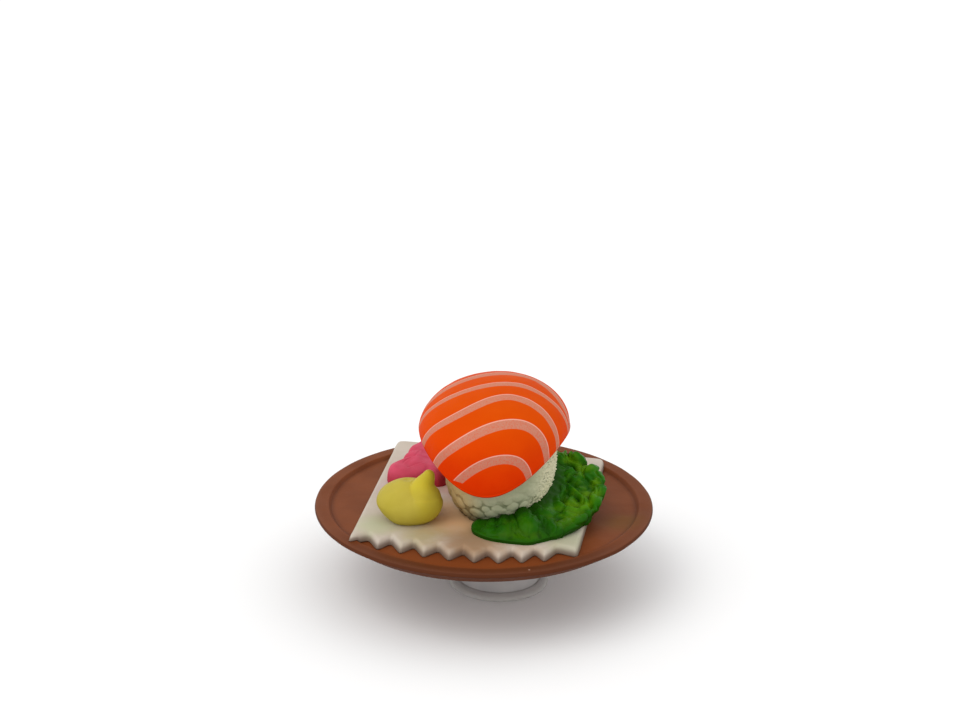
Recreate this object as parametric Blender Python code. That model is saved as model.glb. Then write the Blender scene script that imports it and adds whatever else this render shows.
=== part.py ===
"""A toy salmon nigiri: painted plastic pieces on a round dish with a small stand.

Metres, +Z up. The origin is the centre of the stand's underside. +X is to the right and +Y to the
back, as the toy is looked at from its toothed edge. The shapes are worked out in millimetres, as
rings of points, and scaled once when a mesh is made.
"""

import math

import bpy
import numpy as np

MM = 0.001
GAP = 0.3

# Stand: a flange on the table and a narrower stem above it
FLANGE_RADIUS = 8.8
FLANGE_HEIGHT = 1.15
STEM_RADIUS = 7.25
STAND_ROUND = 0.3
STAND_CREASE = 0.15
STAND_SIDES = 48

# Dish: a round plate with a raised lip, its underside a shallow bowl
DISH_X = -2.8
DISH_Y = 1.2
DISH_RADIUS = 30.1
DISH_TOP = 15.05
DISH_LIP = 2.6
DISH_RECESS = 0.6
DISH_BELLY = 7.6
DISH_BELLY_POWER = 2.2
DISH_EDGE_ROUND = 0.45
DISH_SLANT_IN = 3.6
DISH_SLANT_DOWN = 3.1
DISH_SIDES = 72

# Sheet: a square of plastic with one toothed edge, given by its corners seen from above
SHEET_BOTTOM = DISH_TOP - DISH_RECESS + GAP
SHEET_TOP = 16.1
SHEET_FRONT_LEFT = np.array((-25.8, -16.8))
SHEET_FRONT_RIGHT = np.array((13.3, -21.2))
SHEET_BACK_RIGHT = np.array((19.7, 18.3))
SHEET_BACK_LEFT = np.array((-19.0, 27.3))
SHEET_CORNER = 1.6
SHEET_DRAFT = 0.22
SHEET_ROUND = 0.3
TEETH = 8
TOOTH_DEPTH = 3.3
FIRST_NOTCH = 0.07
LAST_NOTCH = 0.905
FRONT_BOW = 4.2
FRONT_BOW_SKEW = 1.25
FRONT_BOW_SINK = 1.15

# The rice and the salmon share one turn about the upright axis
TURN = math.radians(-7.1)

# Rice: a ball, longer from front to back, cut flat where it rests on the sheet
RICE_CENTRE = np.array((0.03, -3.19, 25.28))
RICE_HALF = np.array((9.7, 12.0, 12.1))
RICE_LEAN = 0.042
GRAIN_HEIGHT = 0.3
GRAIN_COUNT = 210
RICE_AROUND = 52
RICE_LEVELS = 25

# Salmon: a cap over the rice whose front and back ends hang lower than its sides
SALMON_CENTRE = np.array((-1.1, -2.83, 31.0))
SALMON_HALF = np.array((13.24, 15.5, 8.8))
SALMON_ROLL = math.radians(-3.2)
SKIRT_SIDE = 9.5
SKIRT_END = 20.0
RIM_LEFT = 1.2
RIM_RIGHT = -0.3
RIM_FRONT = -6.9
RIM_BACK = -5.0
RIM_SPREAD = 1.1
LIP = 0.3
LEDGE = 0.9
LEDGE_RISE = 0.9
CAVITY = 0.65
SALMON_AROUND = 48
SALMON_LEVELS = 10

# Leaf: a crescent of lettuce that leans on the rice from its front left to its back right
LEAF_START = math.radians(-31.0)
LEAF_END = math.radians(146.0)
LEAF_SECTIONS = 64
LEAF_RUFFLE = 0.55

# Ginger and dollop, given by the middle of their base
GINGER_CENTRE = np.array((-14.6, 11.0))
DOLLOP_CENTRE = np.array((-15.85, -7.9))


def smooth(low, high, value):
    """An S-shaped step from 0 below low to 1 above high."""
    t = np.clip((value - low) / (high - low), 0.0, 1.0)
    return t * t * (3.0 - 2.0 * t)


def material(name, colour, roughness):
    made = bpy.data.materials.new(name)
    made.use_nodes = True
    shader = made.node_tree.nodes["Principled BSDF"]
    shader.inputs["Base Color"].default_value = (*colour, 1.0)
    shader.inputs["Roughness"].default_value = roughness
    return made


def make_object(name, points, faces, colour, roughness):
    mesh = bpy.data.meshes.new(name)
    mesh.from_pydata((np.asarray(points) * MM).tolist(), [], [list(map(int, face)) for face in faces])
    mesh.update()
    made = bpy.data.objects.new(name, mesh)
    bpy.context.scene.collection.objects.link(made)
    made.data.materials.append(material(name + "_plastic", colour, roughness))
    return made


def ring_faces(count, around):
    """Triangles between stacked rings, plus a fan at each end. The two poles are the last points."""
    faces = []
    for level in range(count - 1):
        for side in range(around):
            a = level * around + side
            b = level * around + (side + 1) % around
            c = b + around
            d = a + around
            faces.append((a, b, c))
            faces.append((a, c, d))
    first_pole = count * around
    last_pole = first_pole + 1
    last_ring = (count - 1) * around
    for side in range(around):
        following = (side + 1) % around
        faces.append((first_pole, following, side))
        faces.append((last_pole, last_ring + side, last_ring + following))
    return np.array(faces)


def volume(points, faces):
    a, b, c = points[faces[:, 0]], points[faces[:, 1]], points[faces[:, 2]]
    return float((a * np.cross(b, c)).sum()) / 6.0


def lofted(name, rings, first_pole, last_pole, colour, roughness):
    """A closed body from rings of points, all with the same number of points."""
    rings = np.asarray(rings, float)
    count, around = rings.shape[:2]
    points = np.vstack([rings.reshape(-1, 3), first_pole, last_pole])
    faces = ring_faces(count, around)
    if volume(points, faces) < 0:
        faces = faces[:, ::-1]
    made = make_object(name, points, faces, colour, roughness)
    made.data.shade_smooth()
    return made


def turned_profile(profile, centre_x, centre_y, sides):
    """Rings of a lathe-turned body from (radius, height) pairs."""
    angle = np.linspace(0.0, 2.0 * math.pi, sides, endpoint=False)
    rings = []
    for radius, height in profile:
        x = centre_x + radius * np.cos(angle)
        y = centre_y + radius * np.sin(angle)
        rings.append(np.stack([x, y, np.full(sides, height)], 1))
    return rings


def rounded_corner(centre_radius, centre_height, size, start, end, steps):
    """(radius, height) pairs on an arc between two angles in degrees, 0 pointing outward."""
    pairs = []
    for step in range(steps + 1):
        angle = math.radians(start + (end - start) * step / steps)
        pairs.append((centre_radius + size * math.cos(angle), centre_height + size * math.sin(angle)))
    return pairs


def stand():
    top = DISH_BELLY - GAP
    size = STAND_ROUND
    profile = rounded_corner(FLANGE_RADIUS - size, size, size, -90, 0, 2)
    profile += rounded_corner(FLANGE_RADIUS - size, FLANGE_HEIGHT - size, size, 0, 90, 2)
    profile.append((STEM_RADIUS + 0.2, FLANGE_HEIGHT))
    profile.append((STEM_RADIUS, FLANGE_HEIGHT - STAND_CREASE))
    profile += rounded_corner(STEM_RADIUS - size, top - size, size, 0, 90, 2)
    rings = turned_profile(profile, 0.0, 0.0, STAND_SIDES)
    made = lofted("stand", rings, (0, 0, 0), (0, 0, top), (0.52, 0.53, 0.56), 0.4)
    made.data.set_sharp_from_angle(angle=math.radians(50))
    return made


def dish_underside(radius):
    """Height of the shallow bowl under the dish, out to where its slanted edge begins."""
    rise = DISH_TOP - DISH_SLANT_DOWN - DISH_BELLY
    return DISH_BELLY + rise * (radius / (DISH_RADIUS - DISH_SLANT_IN)) ** DISH_BELLY_POWER


def dish():
    edge = DISH_EDGE_ROUND
    floor = DISH_TOP - DISH_RECESS
    inner = DISH_RADIUS - DISH_LIP
    profile = [(radius, dish_underside(radius)) for radius in (7.6, 13.0, 18.0, 22.5)]
    profile.append((DISH_RADIUS - DISH_SLANT_IN, DISH_TOP - DISH_SLANT_DOWN))
    profile += rounded_corner(DISH_RADIUS - edge, DISH_TOP - edge, edge, -45, 90, 5)
    profile.append((inner + 0.2, DISH_TOP))
    profile.append((inner - 0.1, DISH_TOP - 0.2))
    profile.append((inner - 0.3, floor + 0.1))
    profile.append((inner - 0.6, floor))
    rings = turned_profile(profile, DISH_X, DISH_Y, DISH_SIDES)
    made = lofted(
        "dish", rings, (0, 0, DISH_BELLY), (DISH_X, DISH_Y, floor), (0.22, 0.075, 0.03), 0.45
    )
    made.data.set_sharp_from_angle(angle=math.radians(50))
    return made


def rounded_turn(corner, before, after, size, steps):
    """Points that round a corner of an outline, on a curve between its two sides."""
    start = corner + (before - corner) / np.linalg.norm(before - corner) * size
    end = corner + (after - corner) / np.linalg.norm(after - corner) * size
    points = []
    for step in range(steps + 1):
        t = step / steps
        points.append((1 - t) ** 2 * start + 2 * t * (1 - t) * corner + t * t * end)
    return points


def sheet_outline():
    """The sheet's edge seen from above, anticlockwise from its front left corner."""
    along = SHEET_FRONT_RIGHT - SHEET_FRONT_LEFT
    outward = np.array((along[1], -along[0])) / np.linalg.norm(along)
    pitch = (LAST_NOTCH - FIRST_NOTCH) / TEETH
    points = [SHEET_FRONT_LEFT]
    for notch in range(TEETH + 1):
        for half, side in ((0.0, -0.5), (0.5, 0.5)):
            if notch == TEETH and side > 0:
                continue
            where = FIRST_NOTCH + (notch + half) * pitch
            bow = FRONT_BOW * math.sin(math.pi * where**FRONT_BOW_SKEW) - FRONT_BOW_SINK
            points.append(SHEET_FRONT_LEFT + along * where + outward * (bow + side * TOOTH_DEPTH))
    points.append(SHEET_FRONT_RIGHT)
    points += rounded_turn(SHEET_BACK_RIGHT, SHEET_FRONT_RIGHT, SHEET_BACK_LEFT, SHEET_CORNER, 4)
    points += rounded_turn(SHEET_BACK_LEFT, SHEET_BACK_RIGHT, SHEET_FRONT_LEFT, SHEET_CORNER * 0.6, 3)
    return np.array(points)


def moved_inward(outline, distance):
    """The outline with each side moved inward by a distance, corners kept sharp."""
    before = outline - np.roll(outline, 1, axis=0)
    after = np.roll(outline, -1, axis=0) - outline
    before /= np.linalg.norm(before, axis=1)[:, None]
    after /= np.linalg.norm(after, axis=1)[:, None]
    normal_before = np.stack([-before[:, 1], before[:, 0]], 1)
    normal_after = np.stack([-after[:, 1], after[:, 0]], 1)
    middle = normal_before + normal_after
    reach = 2.0 / np.maximum((middle**2).sum(1), 0.5)
    return outline + middle * reach[:, None] * distance


def sheet():
    outline = sheet_outline()
    levels = (
        (0.0, SHEET_BOTTOM),
        (SHEET_DRAFT, SHEET_TOP - SHEET_ROUND),
        (SHEET_DRAFT + SHEET_ROUND * 0.3, SHEET_TOP - SHEET_ROUND * 0.3),
        (SHEET_DRAFT + SHEET_ROUND, SHEET_TOP),
    )
    around = len(outline)
    points = []
    for inset, height in levels:
        moved = moved_inward(outline, inset)
        points.append(np.hstack([moved, np.full((around, 1), height)]))
    faces = []
    for level in range(len(levels) - 1):
        for side in range(around):
            a = level * around + side
            b = level * around + (side + 1) % around
            faces.append((a, b, b + around, a + around))
    faces.append(tuple(range(around - 1, -1, -1)))
    last = (len(levels) - 1) * around
    faces.append(tuple(range(last, last + around)))
    made = make_object("sheet", np.vstack(points), faces, (0.58, 0.54, 0.45), 0.5)
    made.data.shade_smooth()
    made.data.set_sharp_from_angle(angle=math.radians(40))
    cutter = lip_cutter()
    cut = made.modifiers.new("over_the_lip", "BOOLEAN")
    cut.operation = "DIFFERENCE"
    cut.solver = "EXACT"
    cut.object = cutter
    return made


def lip_cutter():
    """The dish's lip and the gap over it, taken from the underside of the sheet's corners."""
    inner = DISH_RADIUS - DISH_LIP - GAP
    outer = DISH_RADIUS + 4.0
    bottom = SHEET_BOTTOM - 2.0
    top = DISH_TOP + GAP
    sides = DISH_SIDES
    rings = turned_profile(
        ((inner, bottom), (outer, bottom), (outer, top), (inner, top)), DISH_X, DISH_Y, sides
    )
    points = np.vstack(rings)
    faces = []
    for level in range(4):
        for side in range(sides):
            a = level * sides + side
            b = level * sides + (side + 1) % sides
            next_level = (level + 1) % 4 * sides - level * sides
            faces.append((a, b, b + next_level, a + next_level))
    made = make_object("lip_cutter", points, faces, (1, 1, 1), 0.5)
    made.hide_render = True
    made.display_type = "WIRE"
    return made


def turned(x, y):
    """Plan offsets turned by the angle that the rice and the salmon share."""
    return x * math.cos(TURN) - y * math.sin(TURN), x * math.sin(TURN) + y * math.cos(TURN)


def grain_relief(directions):
    """0 to 1: round-topped grains at evenly spread directions on a sphere."""
    index = np.arange(GRAIN_COUNT) + 0.5
    height = 1.0 - 2.0 * index / GRAIN_COUNT
    angle = index * math.pi * (3.0 - math.sqrt(5.0))
    level = np.sqrt(1.0 - height**2)
    seeds = np.stack([level * np.cos(angle), level * np.sin(angle), height], 1)
    nearest = (directions @ seeds.T).max(axis=1)
    spacing = 2.0 / GRAIN_COUNT
    return np.clip(1.0 - (1.0 - nearest) / spacing / 1.6, 0.0, 1.0)


def rice_surface(azimuth, height, extra=0.0):
    """Points of the rice ball at given azimuths, 0 at the front and turning to the right."""
    half = RICE_HALF + extra
    rise = height - RICE_CENTRE[2]
    width = np.sqrt(np.clip(1.0 - (rise / half[2]) ** 2, 0.0, 1.0))
    x, y = turned(half[0] * np.sin(azimuth) * width, -half[1] * np.cos(azimuth) * width)
    return np.stack([RICE_CENTRE[0] + RICE_LEAN * rise + x, RICE_CENTRE[1] + y, height + 0 * x], -1)


def rice():
    bottom = SHEET_TOP + GAP
    lowest = math.acos((bottom - RICE_CENTRE[2]) / RICE_HALF[2])
    azimuth = np.linspace(0.0, 2.0 * math.pi, RICE_AROUND, endpoint=False)
    rings = []
    for level in range(1, RICE_LEVELS):
        polar = lowest * level / (RICE_LEVELS - 1)
        height = RICE_CENTRE[2] + RICE_HALF[2] * math.cos(polar)
        ring = rice_surface(azimuth, np.full(RICE_AROUND, height))
        outward = (ring - RICE_CENTRE) / RICE_HALF
        outward /= np.linalg.norm(outward, axis=1)[:, None]
        relief = grain_relief(outward) * GRAIN_HEIGHT
        ring += outward * relief[:, None]
        ring[:, 2] = np.maximum(ring[:, 2], bottom)
        rings.append(ring)
    rings[-1][:, 2] = bottom
    top = RICE_CENTRE + np.array((RICE_LEAN * RICE_HALF[2], 0.0, RICE_HALF[2] + 0.1))
    base = np.array((*RICE_CENTRE[:2], bottom))
    return lofted("rice", rings, top, base, (0.62, 0.66, 0.56), 0.5)


def salmon_rim(azimuth):
    """Local height of the salmon's edge: low at both ends, high along the sides."""
    spread = np.clip(RIM_SPREAD * azimuth, -math.pi / 2, math.pi / 2)
    behind = math.pi - np.abs(azimuth)
    back_spread = np.clip(RIM_SPREAD * behind, -math.pi / 2, math.pi / 2)
    side = (RIM_RIGHT + RIM_LEFT) / 2 + (RIM_RIGHT - RIM_LEFT) / 2 * np.sin(azimuth)
    front = (RIM_FRONT - side) * np.cos(spread) ** 2
    back = (RIM_BACK - side) * np.cos(back_spread) ** 2
    return side + front + back


def salmon_point(azimuth, height, scale=1.0):
    """Points of the cap's outer surface at local heights, from its crown down to its skirt."""
    skirt = SKIRT_SIDE + (SKIRT_END - SKIRT_SIDE) * np.cos(azimuth) ** 2
    depth = np.where(height >= 0.0, SALMON_HALF[2], skirt)
    width = np.sqrt(np.clip(1.0 - (height / depth) ** 2, 0.0, 1.0)) * scale
    x = SALMON_HALF[0] * np.sin(azimuth) * width
    y = -SALMON_HALF[1] * np.cos(azimuth) * width
    rolled_x = x * math.cos(SALMON_ROLL) + height * math.sin(SALMON_ROLL)
    rolled_z = -x * math.sin(SALMON_ROLL) + height * math.cos(SALMON_ROLL)
    turned_x, turned_y = turned(rolled_x, y)
    return np.stack([turned_x, turned_y, rolled_z], -1) + SALMON_CENTRE


def salmon():
    azimuth = np.linspace(-math.pi, math.pi, SALMON_AROUND, endpoint=False)
    rim = salmon_rim(azimuth)
    rings = []
    rim_polar = np.arccos(np.clip(rim / SALMON_HALF[2], -1.0, 1.0))
    for step in range(1, SALMON_LEVELS + 1):
        polar = np.minimum(rim_polar, math.pi / 2) * step / SALMON_LEVELS
        rings.append(salmon_point(azimuth, SALMON_HALF[2] * np.cos(polar)))
    hanging = np.minimum(rim, 0.0)
    for step in range(1, 5):
        sagging = hanging * step / 4 - 0.02 * step
        rings.append(salmon_point(azimuth, np.where(rim > 0.0, rim - 0.02 * step, sagging)))
    middle = SALMON_CENTRE * np.array((1.0, 1.0, 0.0))
    edge = rings[-1]
    inward = middle - edge * np.array((1.0, 1.0, 0.0))
    inward /= np.linalg.norm(inward, axis=1)[:, None]
    down = np.array((0.0, 0.0, 1.0))
    rings.append(edge + inward * LIP * 0.3 - down * LIP * 0.7)
    rings.append(edge + inward * LIP - down * LIP)
    rings.append(edge + inward * LEDGE - down * LIP * 0.6)
    cavity_top = RICE_CENTRE[2] + RICE_HALF[2] + CAVITY
    start = edge[:, 2] + LEDGE_RISE
    start_polar = np.arccos((start - RICE_CENTRE[2]) / (RICE_HALF[2] + CAVITY))
    for step in range(7):
        polar = start_polar * (1.0 - step / 7)
        height = RICE_CENTRE[2] + (RICE_HALF[2] + CAVITY) * np.cos(polar)
        rings.append(rice_surface(azimuth, height, CAVITY))
    crown = salmon_point(np.zeros(1), np.full(1, SALMON_HALF[2]))[0]
    inside = np.array((RICE_CENTRE[0] + RICE_LEAN * RICE_HALF[2], RICE_CENTRE[1], cavity_top))
    return lofted("salmon", rings, crown, inside, (0.85, 0.13, 0.01), 0.4)


def leaf_section(angle):
    """One closed cross-section of the leaf at an angle about the rice, 0 at the front."""
    part = (angle - LEAF_START) / (LEAF_END - LEAF_START)
    outer = 10.3 + 6.4 * smooth(-0.56, -0.02, angle) + 0.9 * math.exp(-(((angle - 0.32) / 0.25) ** 2))
    outer += 0.9 * smooth(1.25, 1.7, angle) - 1.5 * smooth(1.65, 2.1, angle)
    outer -= 2.0 * smooth(2.1, 2.4, angle)
    inner_top = SHEET_TOP + 1.0 + 1.9 * smooth(-0.5, 0.3, angle) + 1.3 * smooth(0.3, 1.1, angle)
    inner_top += 2.8 * smooth(1.0, 2.2, angle)
    crest = SHEET_TOP + 0.9 + 0.8 * smooth(-0.5, 0.6, angle) + 1.8 * smooth(0.8, 1.5, angle)
    crest += 2.6 * smooth(1.5, 2.1, angle)
    flare = 1.3 * smooth(0.7, 1.6, angle)
    end = smooth(0.0, 0.06, part) * smooth(1.0, 0.93, part)
    base = SHEET_TOP + GAP
    inner_top = base + (inner_top - base) * (0.35 + 0.65 * end)
    crest = base + (crest - base) * (0.35 + 0.65 * end)
    direction = np.array((math.sin(angle), -math.cos(angle)))
    middle = RICE_CENTRE[:2]
    local = math.atan2(direction[0] / RICE_HALF[0], -direction[1] / RICE_HALF[1]) - TURN
    inner = []
    for height in np.linspace(base, inner_top, 5):
        touch = rice_surface(np.array([local]), np.array([height]), GRAIN_HEIGHT + GAP + 0.1)[0]
        inner.append(((touch[:2] - middle) @ direction, height))
    gap_in = inner[-1][0]
    outer = max(outer, gap_in + 1.2)
    top = []
    for step in range(1, 12):
        t = step / 11
        radius = gap_in + (outer + flare - gap_in) * t
        line = inner_top + (crest - inner_top) * t
        valley = -0.16 * (crest - base) * math.sin(math.pi * min(1.0, t * 1.15)) * flare
        wave = LEAF_RUFFLE * smooth(0.25, 0.75, t) * end
        ruffle = wave * (0.6 * math.sin(19.0 * angle + 3.0 * t) + 0.4 * math.sin(31.0 * angle - 5.0 * t))
        top.append((radius, max(base + 0.5, line + valley + ruffle)))
    edge_radius, edge_height = top[-1]
    scallop = 0.35 * math.sin(23.0 * angle) * end * smooth(0.3, 1.2, angle)
    rim = []
    for t in (0.0, 0.5, 1.0):
        radius = edge_radius + scallop + 0.35 * math.sin(math.pi * t) - (flare + scallop) * t
        height = base + (edge_height - base) * 0.75 * (1.0 - t)
        rim.append((radius, height))
    under = [(outer + (inner[0][0] - outer) * t, base) for t in (0.35, 0.7)]
    pairs = inner + top + rim + under
    return np.array([(*(middle + direction * radius), height) for radius, height in pairs])


def leaf():
    angles = np.linspace(LEAF_START, LEAF_END, LEAF_SECTIONS)
    rings = [leaf_section(angle) for angle in angles]
    first = rings[0].mean(axis=0)
    last = rings[-1].mean(axis=0)
    return lofted("leaf", rings, first, last, (0.04, 0.21, 0.01), 0.45)


def ginger_height(x, y):
    """Height of the ginger over its base: two petals folded over each other."""
    front = 3.4 - 0.06 * (x + 1.2) ** 2 - 0.10 * (y + 1.8) ** 2 + 0.12 * x
    back = 4.6 - 0.10 * (x + 0.2) ** 2 - 0.09 * (y - 2.6) ** 2
    fold = 3.9 - 0.16 * (x - 3.4) ** 2 - 0.12 * (y + 0.6) ** 2
    return np.maximum(np.maximum(front, back), fold)


def ginger():
    around = 44
    azimuth = np.linspace(0.0, 2.0 * math.pi, around, endpoint=False)
    reach = 6.2 - 0.7 * np.cos(2 * azimuth) + 0.4 * np.cos(azimuth + 1.1)
    reach -= 0.8 * np.exp(-(((azimuth - 2.75) / 0.2) ** 2)) + 1.5 * np.exp(-(((azimuth - 2.2) / 0.5) ** 2))
    base = SHEET_TOP + GAP
    rings = []
    for share in (0.15, 0.35, 0.55, 0.72, 0.86, 0.95, 1.0):
        x = reach * np.cos(azimuth) * share
        y = reach * np.sin(azimuth) * share
        edge = (1.0 - share**5) ** 0.5
        height = 0.5 + (ginger_height(x, y) - 0.5) * edge
        rings.append(np.stack([GINGER_CENTRE[0] + x, GINGER_CENTRE[1] + y, base + np.maximum(height, 0.4)], 1))
    foot = rings[-1].copy()
    foot[:, :2] += (GINGER_CENTRE - foot[:, :2]) * 0.05
    foot[:, 2] = base
    rings.append(foot)
    top = (*GINGER_CENTRE, base + float(ginger_height(np.zeros(1), np.zeros(1))[0]))
    return lofted("ginger", rings, top, (*GINGER_CENTRE, base), (0.62, 0.1, 0.19), 0.45)


def dollop():
    around = 36
    azimuth = np.linspace(0.0, 2.0 * math.pi, around, endpoint=False)
    base = SHEET_TOP + GAP
    profile = (
        (0.0, 4.9, 0.0, 0.0),
        (0.7, 5.4, 0.0, 0.0),
        (1.9, 5.68, 0.0, 0.0),
        (3.2, 5.6, 0.0, 0.0),
        (4.3, 5.15, 0.05, 0.0),
        (5.2, 4.5, 0.2, 0.1),
        (5.8, 3.9, 0.5, 0.25),
        (6.2, 3.2, 1.0, 0.45),
        (6.4, 2.6, 1.6, 0.7),
        (6.6, 2.15, 2.1, 0.95),
        (7.0, 1.75, 2.5, 1.2),
        (7.4, 1.3, 2.8, 1.4),
        (7.7, 0.75, 3.1, 1.6),
    )
    rings = []
    for rise, radius, shift_x, shift_y in profile:
        x = DOLLOP_CENTRE[0] + shift_x + radius * np.cos(azimuth)
        y = DOLLOP_CENTRE[1] + shift_y + radius * np.sin(azimuth)
        rings.append(np.stack([x, y, np.full(around, base + rise)], 1))
    top = (DOLLOP_CENTRE[0] + 3.2, DOLLOP_CENTRE[1] + 1.7, base + 7.9)
    return lofted("dollop", rings, (*DOLLOP_CENTRE, base), top, (0.56, 0.5, 0.07), 0.4)


def main():
    for old in list(bpy.data.objects):
        bpy.data.objects.remove(old)
    stand()
    dish()
    sheet()
    rice()
    salmon()
    leaf()
    ginger()
    dollop()


main()
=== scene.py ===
# %% [markdown]
# # A painted toy: salmon nigiri on a round dish
# The solids of the toy are already built at their real size, in metres, with +Z up. This lesson
# gives each of them the surface that the moulded and painted toy has. A frame of solids could be
# dressed with textures alone, but grains, ruffles and folds catch the light only as real relief.
# So every piece is worked out again as a fine surface, in the place of its plain solid.

# %% Load the frame
import math

import bpy
import numpy as np
from mathutils import Matrix, Vector


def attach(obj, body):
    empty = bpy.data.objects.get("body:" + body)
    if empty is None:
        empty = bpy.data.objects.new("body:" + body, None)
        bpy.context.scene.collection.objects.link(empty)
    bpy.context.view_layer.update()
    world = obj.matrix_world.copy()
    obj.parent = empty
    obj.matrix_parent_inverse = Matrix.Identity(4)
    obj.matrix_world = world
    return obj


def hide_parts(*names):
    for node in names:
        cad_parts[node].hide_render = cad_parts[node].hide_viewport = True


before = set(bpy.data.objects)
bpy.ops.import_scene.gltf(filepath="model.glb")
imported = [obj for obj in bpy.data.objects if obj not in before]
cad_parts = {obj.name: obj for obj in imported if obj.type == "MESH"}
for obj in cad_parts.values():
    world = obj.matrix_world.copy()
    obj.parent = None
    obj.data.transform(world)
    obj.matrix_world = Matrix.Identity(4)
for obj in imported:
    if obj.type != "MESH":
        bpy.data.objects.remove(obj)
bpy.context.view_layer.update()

MM = 0.001
print("nodes:", sorted(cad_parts))

# %% [markdown]
# ## Camera
# The toy was photographed from a little above, with a long lens, so there is hardly any
# perspective. A camera can be aimed with a constraint, but plain numbers are easier to read here:
# where it stands, how far it looks down, and the slight tilt of its horizon.

# %% The camera
CAMERA_PLACE_MM = (-3.71, -390.98, 188.28)
CAMERA_PITCH = math.radians(20.46)
CAMERA_ROLL = math.radians(0.5)
LENS = 90.0
SENSOR = 36.0


def new_object(name, data):
    """An object that carries the data, at the origin of the scene."""
    made = bpy.data.objects.new(name, data)
    bpy.context.scene.collection.objects.link(made)
    return made


def make_camera():
    """A camera raised to look along +Y, tipped down by the pitch, with its picture rolled."""
    data = bpy.data.cameras.new("camera")
    data.lens = LENS
    data.sensor_width = SENSOR
    data.clip_start = 0.01
    made = new_object("camera", data)
    made.location = Vector(CAMERA_PLACE_MM) * MM
    tipped = Matrix.Rotation(math.pi / 2 - CAMERA_PITCH, 3, "X")
    made.rotation_euler = (tipped @ Matrix.Rotation(CAMERA_ROLL, 3, "Z")).to_euler()
    bpy.context.scene.camera = made


make_camera()
print("camera looks down by", round(math.degrees(CAMERA_PITCH), 1), "degrees")

# %% [markdown]
# ## Floor and light
# The toy was lit softly from the front left and cut out on white. A white world gives the even
# fill, and a sun as wide as a large soft box gives the gentle shading without any fall-off. The
# floor is paper white to the camera but throws less light back up, as a table under it would.

# %% The floor, the world and the soft box
FLOOR_SIZE = 8.0
FLOOR_COLOUR = (0.95, 0.95, 0.95, 1.0)
FLOOR_BOUNCE = (0.76, 0.75, 0.74, 1.0)
WORLD_STRENGTH = 0.97
KEY_STRENGTH = 0.72
KEY_FROM = (-0.62, -0.42, 0.85)
KEY_SPREAD = math.radians(50)


def make_floor():
    """A square of matt paper, one tone to the camera and a darker one to all other rays."""
    half = FLOOR_SIZE / 2
    mesh = bpy.data.meshes.new("floor")
    corners = [(-half, -half, 0), (half, -half, 0), (half, half, 0), (-half, half, 0)]
    mesh.from_pydata(corners, [], [(0, 1, 2, 3)])
    made = new_object("floor", mesh)
    paper = bpy.data.materials.new("floor_paper")
    paper.use_nodes = True
    tree = paper.node_tree
    shader = tree.nodes["Principled BSDF"]
    shader.inputs["Roughness"].default_value = 1.0
    shader.inputs["Specular IOR Level"].default_value = 0.0
    seen = tree.nodes.new("ShaderNodeLightPath").outputs["Is Camera Ray"]
    tone = tree.nodes.new("ShaderNodeMix")
    tone.data_type = "RGBA"
    tone.inputs[6].default_value = FLOOR_BOUNCE
    tone.inputs[7].default_value = FLOOR_COLOUR
    tree.links.new(seen, tone.inputs[0])
    tree.links.new(tone.outputs[2], shader.inputs["Base Color"])
    mesh.materials.append(paper)


def make_soft_box():
    """A sun that shines from KEY_FROM, wide enough for soft shadows."""
    data = bpy.data.lights.new("soft_box", "SUN")
    data.energy = KEY_STRENGTH
    data.angle = KEY_SPREAD
    data.color = (1.0, 0.99, 0.97)
    made = new_object("soft_box", data)
    made.rotation_euler = Vector(KEY_FROM).to_track_quat("Z", "Y").to_euler()


def make_world():
    """An even white light from all sides."""
    world = bpy.data.worlds.new("studio")
    bpy.context.scene.world = world
    world.use_nodes = True
    backdrop = world.node_tree.nodes["Background"]
    backdrop.inputs["Color"].default_value = (1.0, 1.0, 1.0, 1.0)
    backdrop.inputs["Strength"].default_value = WORLD_STRENGTH


make_floor()
make_world()
make_soft_box()
bpy.context.scene.view_settings.view_transform = "Standard"
print("lamps:", [light.name for light in bpy.data.lights])


# %% [markdown]
# ## One way to make every skin
# All the pieces are closed skins over rings of points: a lathe-turned profile, a ball, a folded
# slice. Blender can spin or loft such shapes by hand, but a grid worked out with numpy keeps each
# shape to one formula. The helper joins neighbouring rings with four-sided faces, closes each end
# with a fan, or a flat end with one face, and turns the skin round if it came out inside out.

# %% Skins over rings of points
def enclosed(points, quads):
    """Volume under the quads, from the signed pyramids between each quad and the origin."""
    a, b, c, d = (points[quads[:, corner]] for corner in range(4))
    first = (a * np.cross(b, c)).sum()
    second = (a * np.cross(c, d)).sum()
    return float(first + second) / 6.0


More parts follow.
